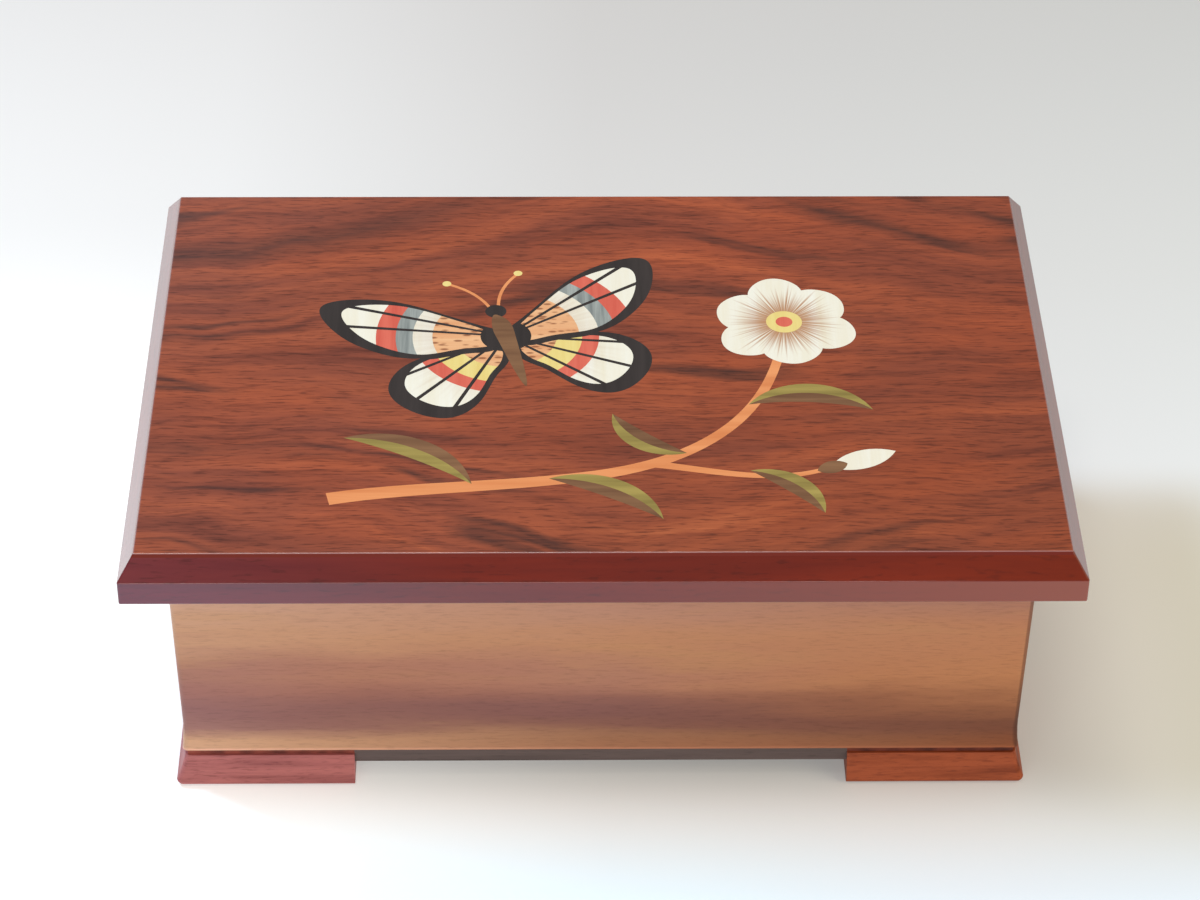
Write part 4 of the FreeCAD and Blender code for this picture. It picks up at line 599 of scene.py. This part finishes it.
def covered_card(name, low, high, facing, crown, pulled, radius):
    """A card under stretched velvet. Its face swells by `crown`, its sides draw in by `pulled` between
    the corners, and its edges are rounded. `facing` is the axis and direction of the face."""
    crowding, unevenness, lumps_per_metre, most_hollow = 1.8, 0.00010, 160.0, 0.8
    axis, sign = "XYZ".index(facing[1]), (1 if facing[0] == "+" else -1)
    across = [n for n in range(3) if n != axis]
    size = [h - l for l, h in zip(low, high)]
    middle = [(l + h) / 2 for l, h in zip(low, high)]
    wide, tall = (size[n] for n in across)
    bpy.ops.object.select_all(action="DESELECT")
    bpy.ops.mesh.primitive_cube_add(size=1.0, location=middle, scale=size)
    card = bpy.context.object
    card.name = name
    bpy.ops.object.transform_apply(location=True, rotation=True, scale=True)
    bpy.ops.object.mode_set(mode="EDIT")
    bpy.ops.mesh.select_all(action="SELECT")
    bpy.ops.mesh.subdivide(number_cuts=23)
    bpy.ops.object.mode_set(mode="OBJECT")
    for vertex in card.data.vertices:
        place = [(vertex.co[n] - middle[n]) / (size[n] / 2) for n in range(3)]
        for n in across:  # more vertices towards the edges, where the cloth turns
            place[n] = math.copysign(1 - max(0.0, 1 - abs(place[n])) ** crowding, place[n])
        u, v = (place[n] for n in across)
        drawn_in = (1 - pulled / wide * 2 * (1 - v * v), 1 - pulled / tall * 2 * (1 - u * u))
        near_edge = min(wide / 2 * (1 - abs(u)), tall / 2 * (1 - abs(v)))
        inside = max(0.0, 1 - near_edge / radius)
        rounding = radius * (1 - math.sqrt(max(0.0, 1 - inside * inside)))
        swell = crown * (1 - (1 - u ** 4) * (1 - v ** 4))
        uneven = unevenness * noise.noise(Vector(vertex.co) * lumps_per_metre) * (1 - inside)
        deep = (place[axis] * sign + 1) / 2
        thick = size[axis] - deep * min(size[axis] * most_hollow, rounding + swell + abs(uneven))
        vertex.co[axis] = middle[axis] + sign * (deep * thick - size[axis] / 2)
        for n, share, draw in zip(across, (u, v), drawn_in):
            vertex.co[n] = middle[n] + share * draw * size[n] / 2
    smooth = card.modifiers.new("smooth", "SUBSURF")
    smooth.levels = 1
    smooth.render_levels = 1
    bpy.ops.object.modifier_apply(modifier="smooth")
    bpy.ops.object.shade_smooth()
    card.data.materials.append(red_velvet(name + "_velvet", middle[0] * 90))
    return card


tray_low, tray_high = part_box("tray_liners")
liner, turned_in = 0.0015, 0.004
partition_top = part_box("partition")[1].z
for name, low, high, facing in (
    ("tray_liner_front", tray_low, (tray_high.x, tray_low.y + liner, tray_high.z), "+Y"),
    ("tray_liner_back", (tray_low.x, tray_high.y - liner, tray_low.z), tray_high, "-Y"),
    ("tray_liner_left", (tray_low.x, tray_low.y + liner, tray_low.z),
     (tray_low.x + liner, tray_high.y - liner, partition_top), "+X"),
    ("tray_liner_right", (tray_high.x - liner, tray_low.y + liner, tray_low.z),
     (tray_high.x, tray_high.y - liner, tray_high.z), "-X"),
):
    panel = covered_card(name, low, high, facing, crown=0.0002, pulled=0.0, radius=0.0006)
    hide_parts("tray_liners")
    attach(panel, "case")

pad_low, pad_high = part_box("tray_pad")
tray_floor = covered_card("tray_floor_pad", pad_low, pad_high, "+Z", crown=0.0009, pulled=0.0004,
                          radius=0.0011)
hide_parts("tray_pad")
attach(tray_floor, "case")


# ---------------------------------------------------------------- lid core and bevelled edging
# A plain core board with solid dark red mahogany edging on all four sides, mitred at the corners.
# The bevel is moulded on the edging. High gloss lacquer, thinner at the right.
use(grained("core_board", "X", colour(168, 132, 94), colour(196, 164, 124), 0.7), "lid_core")
lid_left, lid_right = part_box("lid_edging_left")[0].x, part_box("lid_edging_right")[1].x
edging_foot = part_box("lid_edging_front")[0].z
upright_start, upright_end = edging_foot + 0.0002, edging_foot + 0.0045


def along_lid(tree, x):
    """0 at the lid's left end and 1 at its right end."""
    return maths(tree, "MULTIPLY_ADD", x, 1 / (lid_right - lid_left), 0.5)


def edging_tones(tree, place, body):
    """Greyer, pinker and bluer to the left, and more orange to the right: painted reflections. The upright
    edge under the bevel is painted darker at the left, and paler and browner at the right, for the same
    reflections."""
    split = axes(tree, place)
    share = along_lid(tree, split["X"])
    # painted reflections of the room: bluer at the left, more orange at the right
    painted_reflection_tint = ramp(tree, share, [
        (0.0, (0.98, 2.2, 9.5, 1)), (0.35, (0.86, 0.85, 1.0, 1)),
        (0.7, (0.88, 0.95, 0.7, 1)), (1.0, (1.0, 1.3, 0.3, 1)),
    ])
    body = blend_colours(tree, "MULTIPLY", 1.0, body, painted_reflection_tint)
    upright = product(tree, maths(tree, "GREATER_THAN", split["Z"], upright_start),
                      maths(tree, "LESS_THAN", split["Z"], upright_end))
    # the upright is painted darker at the left and paler and browner at the right, for what it reflects
    painted_darkening = ramp(tree, share, [(0.0, (0.78, 0.2, 0.6, 1)), (0.35, unchanged)])
    body = blend_colours(tree, "MULTIPLY", upright, body, painted_darkening)
    painted_warm_reflection = product(tree, upright, mask(tree, share, (0.45, 0), (1.0, 1)))
    return blend_colours(tree, "MIX", painted_warm_reflection, body, colour(142, 64, 36))


for edge, axis, lacquer, seed in (
    ("lid_edging_front", "X", 1.0, 2.0),
    ("lid_edging_back", "X", 1.0, 6.0),
    ("lid_edging_left", "Y", 1.0, 3.0),
    ("lid_edging_right", "Y", 0.65, 5.0),
):
    use(grained(edge + "_mahogany", axis, colour(100, 18, 9), colour(132, 33, 13), 0.30, coat=lacquer,
                along=16.0, across=260.0, seed=seed, toned=edging_tones), edge)


# ---------------------------------------------------------------- lid veneer
# One sheet of rosewood. Its figure spreads in the middle of the lid and closes towards both ends.
# Broken near-black veins and short dark pores follow it, under a high gloss lacquer.
gloss_lacquer = {"Roughness": 0.45, "Specular IOR Level": 0.15, "Coat Weight": 1.0, "Coat Roughness": 0.07}
veneer_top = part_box("lid_veneer")[1].z


def bell(tree, value, middle, width):
    """1 at the middle, and next to nothing two widths away."""
    off = maths(tree, "DIVIDE", maths(tree, "SUBTRACT", value, middle), width)
    return maths(tree, "POWER", 2.718, product(tree, off, off, -1.0))


def moved_across(tree, split, y):
    """The same place, but for how far it is across the grain."""
    return add(tree, "CombineXYZ", {0: split["X"], 1: y, 2: split["Z"]}).outputs[0]


def rosewood():
    material, tree = new_material("lid_rosewood")
    place = own_place(tree)
    split = axes(tree, place)
    x, y = split["X"], split["Y"]

    # the figure parts in the middle of the lid, swirls at its left, and wanders everywhere
    spread = maths(tree, "MULTIPLY_ADD", bell(tree, x, 0.010, 0.055), -0.45, 1.0)
    parted = product(tree, maths(tree, "ADD", y, 0.005), spread)
    swirl = maths(tree, "MULTIPLY_ADD", bell(tree, x, -0.058, 0.020), 0.005, 0.004)
    sway = speckle(tree, place, 26.0)
    ruffle = speckle(tree, place, 130.0, 2.0, 0.6)
    swayed = maths(tree, "MULTIPLY_ADD", centred(tree, sway, 1.0), swirl, parted)
    swayed = maths(tree, "ADD", swayed, centred(tree, ruffle, 0.0005))
    figure = moved_across(tree, split, swayed)
    fibres = moved_across(tree, split, maths(tree, "ADD", y, centred(tree, sway, 0.0022)))

    # ground colour, with a few redder clouds and thin streaks
    broad = streaks(tree, figure, "X", 14.0, 190.0, 5.0, 0.60, 0.3, 1.0)
    body = ramp(tree, broad, [
        (0.26, colour(98, 40, 28)), (0.40, colour(132, 61, 41)), (0.52, colour(150, 71, 45)),
        (0.64, colour(166, 80, 48)), (0.78, colour(192, 100, 60)),
    ])
    cloud = speckle(tree, add(tree, "Mapping", {"Vector": place, "Scale": (28, 60, 40)}).outputs[0], 1.0)
    redder = product(tree, mask(tree, cloud, (0.45, 0), (0.70, 1)), 0.40)
    body = blend_colours(tree, "MIX", redder, body, colour(176, 78, 38))
    thin = streaks(tree, fibres, "X", 70.0, 1000.0, 4.0, 0.65, 0.0, 5.0)
    shade = ramp(tree, thin, [
        (0.30, (0.50, 0.42, 0.44, 1)), (0.47, (0.92, 0.90, 0.90, 1)),
        (0.60, unchanged), (0.74, (1.16, 1.17, 1.16, 1)),
    ])
    body = blend_colours(tree, "MULTIPLY", 0.85, body, shade)

    # near-black veins that come and go, one along the back at the left, and the pores
    line = streaks(tree, figure, "X", 9.0, 120.0, 2.0, 0.5, 0.2, 7.0)
    vein = mask(tree, line, (0.545, 0), (0.60, 1), (0.615, 1), (0.67, 0))
    come_and_go = streaks(tree, figure, "X", 30.0, 60.0, 2.0, 0.5, 0.0, 9.0)
    vein = product(tree, vein, mask(tree, come_and_go, (0.42, 0), (0.56, 1)))
    off_line = maths(tree, "ABSOLUTE", maths(tree, "SUBTRACT", swayed, 0.0375))
    back_vein = mask(tree, off_line, (0.0006, 1), (0.0028, 0))
    to_left = mask(tree, product(tree, x, -8.0), (0.10, 0), (0.40, 1))
    vein = maths(tree, "MAXIMUM", vein, product(tree, back_vein, to_left))
    ragged = product(tree, vein, maths(tree, "MULTIPLY_ADD", thin, -0.9, 1.25), 0.92)
    body = blend_colours(tree, "MIX", ragged, body, colour(62, 31, 28))
    dashes = streaks(tree, fibres, "X", 260.0, 2600.0, 2.0, 0.6, 0.0, 3.0)
    pore = ramp(tree, dashes, [(0.34, (0.38, 0.28, 0.28, 1)), (0.46, unchanged)])
    body = blend_colours(tree, "MULTIPLY", 0.70, body, pore)

    # painted haze of reflected light at the left and in the back left corner, and lighter at the back right
    painted_haze = ramp(tree, along_lid(tree, x), [
        (0.0, (1.10, 1.18, 1.32, 1)), (0.6, (1.08, 1.07, 1.06, 1)), (1.0, (1.03, 1.0, 0.94, 1)),
    ])
    body = blend_colours(tree, "MULTIPLY", 1.0, body, painted_haze)
    back_left = fade(tree, maths(tree, "SUBTRACT", y, x), 0.070, 0.125, 0.0, 0.022, "LINEAR")
    body = blend_colours(tree, "MIX", back_left, body, colour(205, 210, 225))
    right_half = fade(tree, x, -0.030, 0.015)
    far_side = ramp(tree, maths(tree, "MULTIPLY_ADD", y, 11.0, 0.5),
                    [(0.0, (0.90, 0.92, 0.90, 1)), (1.0, (1.13, 1.10, 1.06, 1))])
    body = blend_colours(tree, "MULTIPLY", right_half, body, far_side)

    # the veneer's cut edge shows redder, with a painted highlight along the arris above it; `beneath` is in
    # millimetres
    beneath = product(tree, maths(tree, "SUBTRACT", veneer_top, split["Z"]), 1000.0)
    arris = product(tree, mask(tree, beneath, (0.00, 0), (0.04, 1), (0.10, 1), (0.16, 0)), 0.35)
    cut = mask(tree, beneath, (0.03, 0), (0.10, 1))
    body = blend_colours(tree, "MIX", cut, body, colour(112, 26, 12))
    body = blend_colours(tree, "MIX", arris, body, colour(206, 168, 168))
    ripple = speckle(tree, place, 90.0, 1.0)
    finish_surface(tree, {"Base Color": body, **gloss_lacquer,
                          "Coat Normal": bumped(tree, ripple, 0.03, 0.0006)})
    return material


use(rosewood(), "lid_veneer")


# ---------------------------------------------------------------- inlay woods
# Thin pieces of nine woods let into the veneer, flush with it and under the same lacquer. The pale
# ones are toned with hot sand toward the middle of the flower and of the wings.
flower_middle = (0.033, 0.012)
wings_middle = (-0.0165, 0.008)


def inlay_wood(name, axis, dark, light, along, across, toned):
    material, tree = new_material(name)
    place = own_place(tree)
    figure = streaks(tree, place, axis, along, across, 5.0, 0.6, 0.2)
    body = ramp(tree, figure, [(0.3, dark), (0.7, light)])
    if toned:
        body = toned(tree, place, body)
    finish_surface(tree, {"Base Color": body, **gloss_lacquer})
    return material


def sand_toned(tree, place, body):
    """Scorched toward the flower's middle, in rays, and faintly toward the roots of the wings."""
    for middle, near, far, strength in (
        (flower_middle, 0.0025, 0.0095, 0.9),
        (wings_middle, 0.006, 0.022, 0.35),
    ):
        shift = (-middle[0], -middle[1], -veneer_top)
        moved = add(tree, "Mapping", {"Vector": place, "Location": shift}).outputs[0]
        away = add(tree, "VectorMath", {0: moved}, operation="LENGTH").outputs["Value"]
        turn = add(tree, "TexGradient", {"Vector": moved}, gradient_type="RADIAL").outputs["Fac"]
        rays = add(tree, "TexNoise", {"W": product(tree, turn, 110.0), "Scale": 1.0, "Detail": 1.0},
                   noise_dimensions="1D").outputs["Fac"]
        reach = maths(tree, "MULTIPLY_ADD", maths(tree, "SUBTRACT", rays, 0.5), -0.010, away)
        scorch = fade(tree, reach, near, far, strength, 0.0)
        body = blend_colours(tree, "MIX", scorch, body, colour(186, 120, 66))
    return body


def speckled(tree, place, body):
    """Short brown dabs, longer across than up."""
    mapped = add(tree, "Mapping", {"Vector": place, "Scale": (420.0, 1050.0, 420.0)}).outputs[0]
    cells = add(tree, "TexVoronoi", {"Vector": mapped, "Scale": 1.0, "Randomness": 0.9})
    dab = product(tree, mask(tree, cells.outputs["Distance"], (0.22, 1), (0.40, 0)), 0.8)
    return blend_colours(tree, "MIX", dab, body, colour(142, 76, 44))


for wood, axis, dark, light, along, across, toned in (
    ("ivory", "Y", colour(248, 238, 212), colour(255, 250, 234), 30.0, 500.0, sand_toned),
    ("black", "Y", colour(34, 28, 30), colour(54, 46, 46), 30.0, 500.0, None),
    ("yellow", "Y", colour(238, 208, 118), colour(250, 228, 146), 30.0, 500.0, None),
    ("burl", "X", colour(232, 158, 106), colour(252, 196, 144), 30.0, 500.0, speckled),
    ("coral", "Y", colour(216, 88, 70), colour(238, 118, 96), 30.0, 500.0, None),
    ("grey", "Y", colour(118, 124, 122), colour(180, 184, 176), 40.0, 700.0, None),
    ("olive", "X", colour(130, 112, 54), colour(182, 160, 84), 30.0, 300.0, None),
    ("brown", "X", colour(104, 66, 42), colour(146, 104, 70), 30.0, 400.0, None),
    ("tan", "X", colour(222, 128, 72), colour(250, 164, 104), 20.0, 300.0, None),
):
    inlay = "inlay_" + wood
    use(inlay_wood(inlay + "_wood", axis, dark, light, along, across, toned), inlay)


# ---------------------------------------------------------------- lid lining
# Thin card covered with the same velvet, glued to the underside of the lid. It shows when the lid
# is open, and presses the stop rod down when it is shut.
lining_low, lining_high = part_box("lid_lining")
lining = covered_card("lid_lining_panel", lining_low, lining_high, "-Z", crown=0.0001, pulled=0.0,
                      radius=0.0004)
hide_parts("lid_lining")
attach(lining, "lid")


# ---------------------------------------------------------------- winding key
# A stamped and turned brass key screwed to the end of the arbor, under the box. Fingers have
# polished its wings.
key_light, key_dull = colour(230, 194, 120), colour(198, 154, 86)
use(metal("key_brass", key_light, key_dull, (0.16, 0.36), "Z", 500.0, 2200.0, relief=0.2, seed=14.0),
    "winding_key")
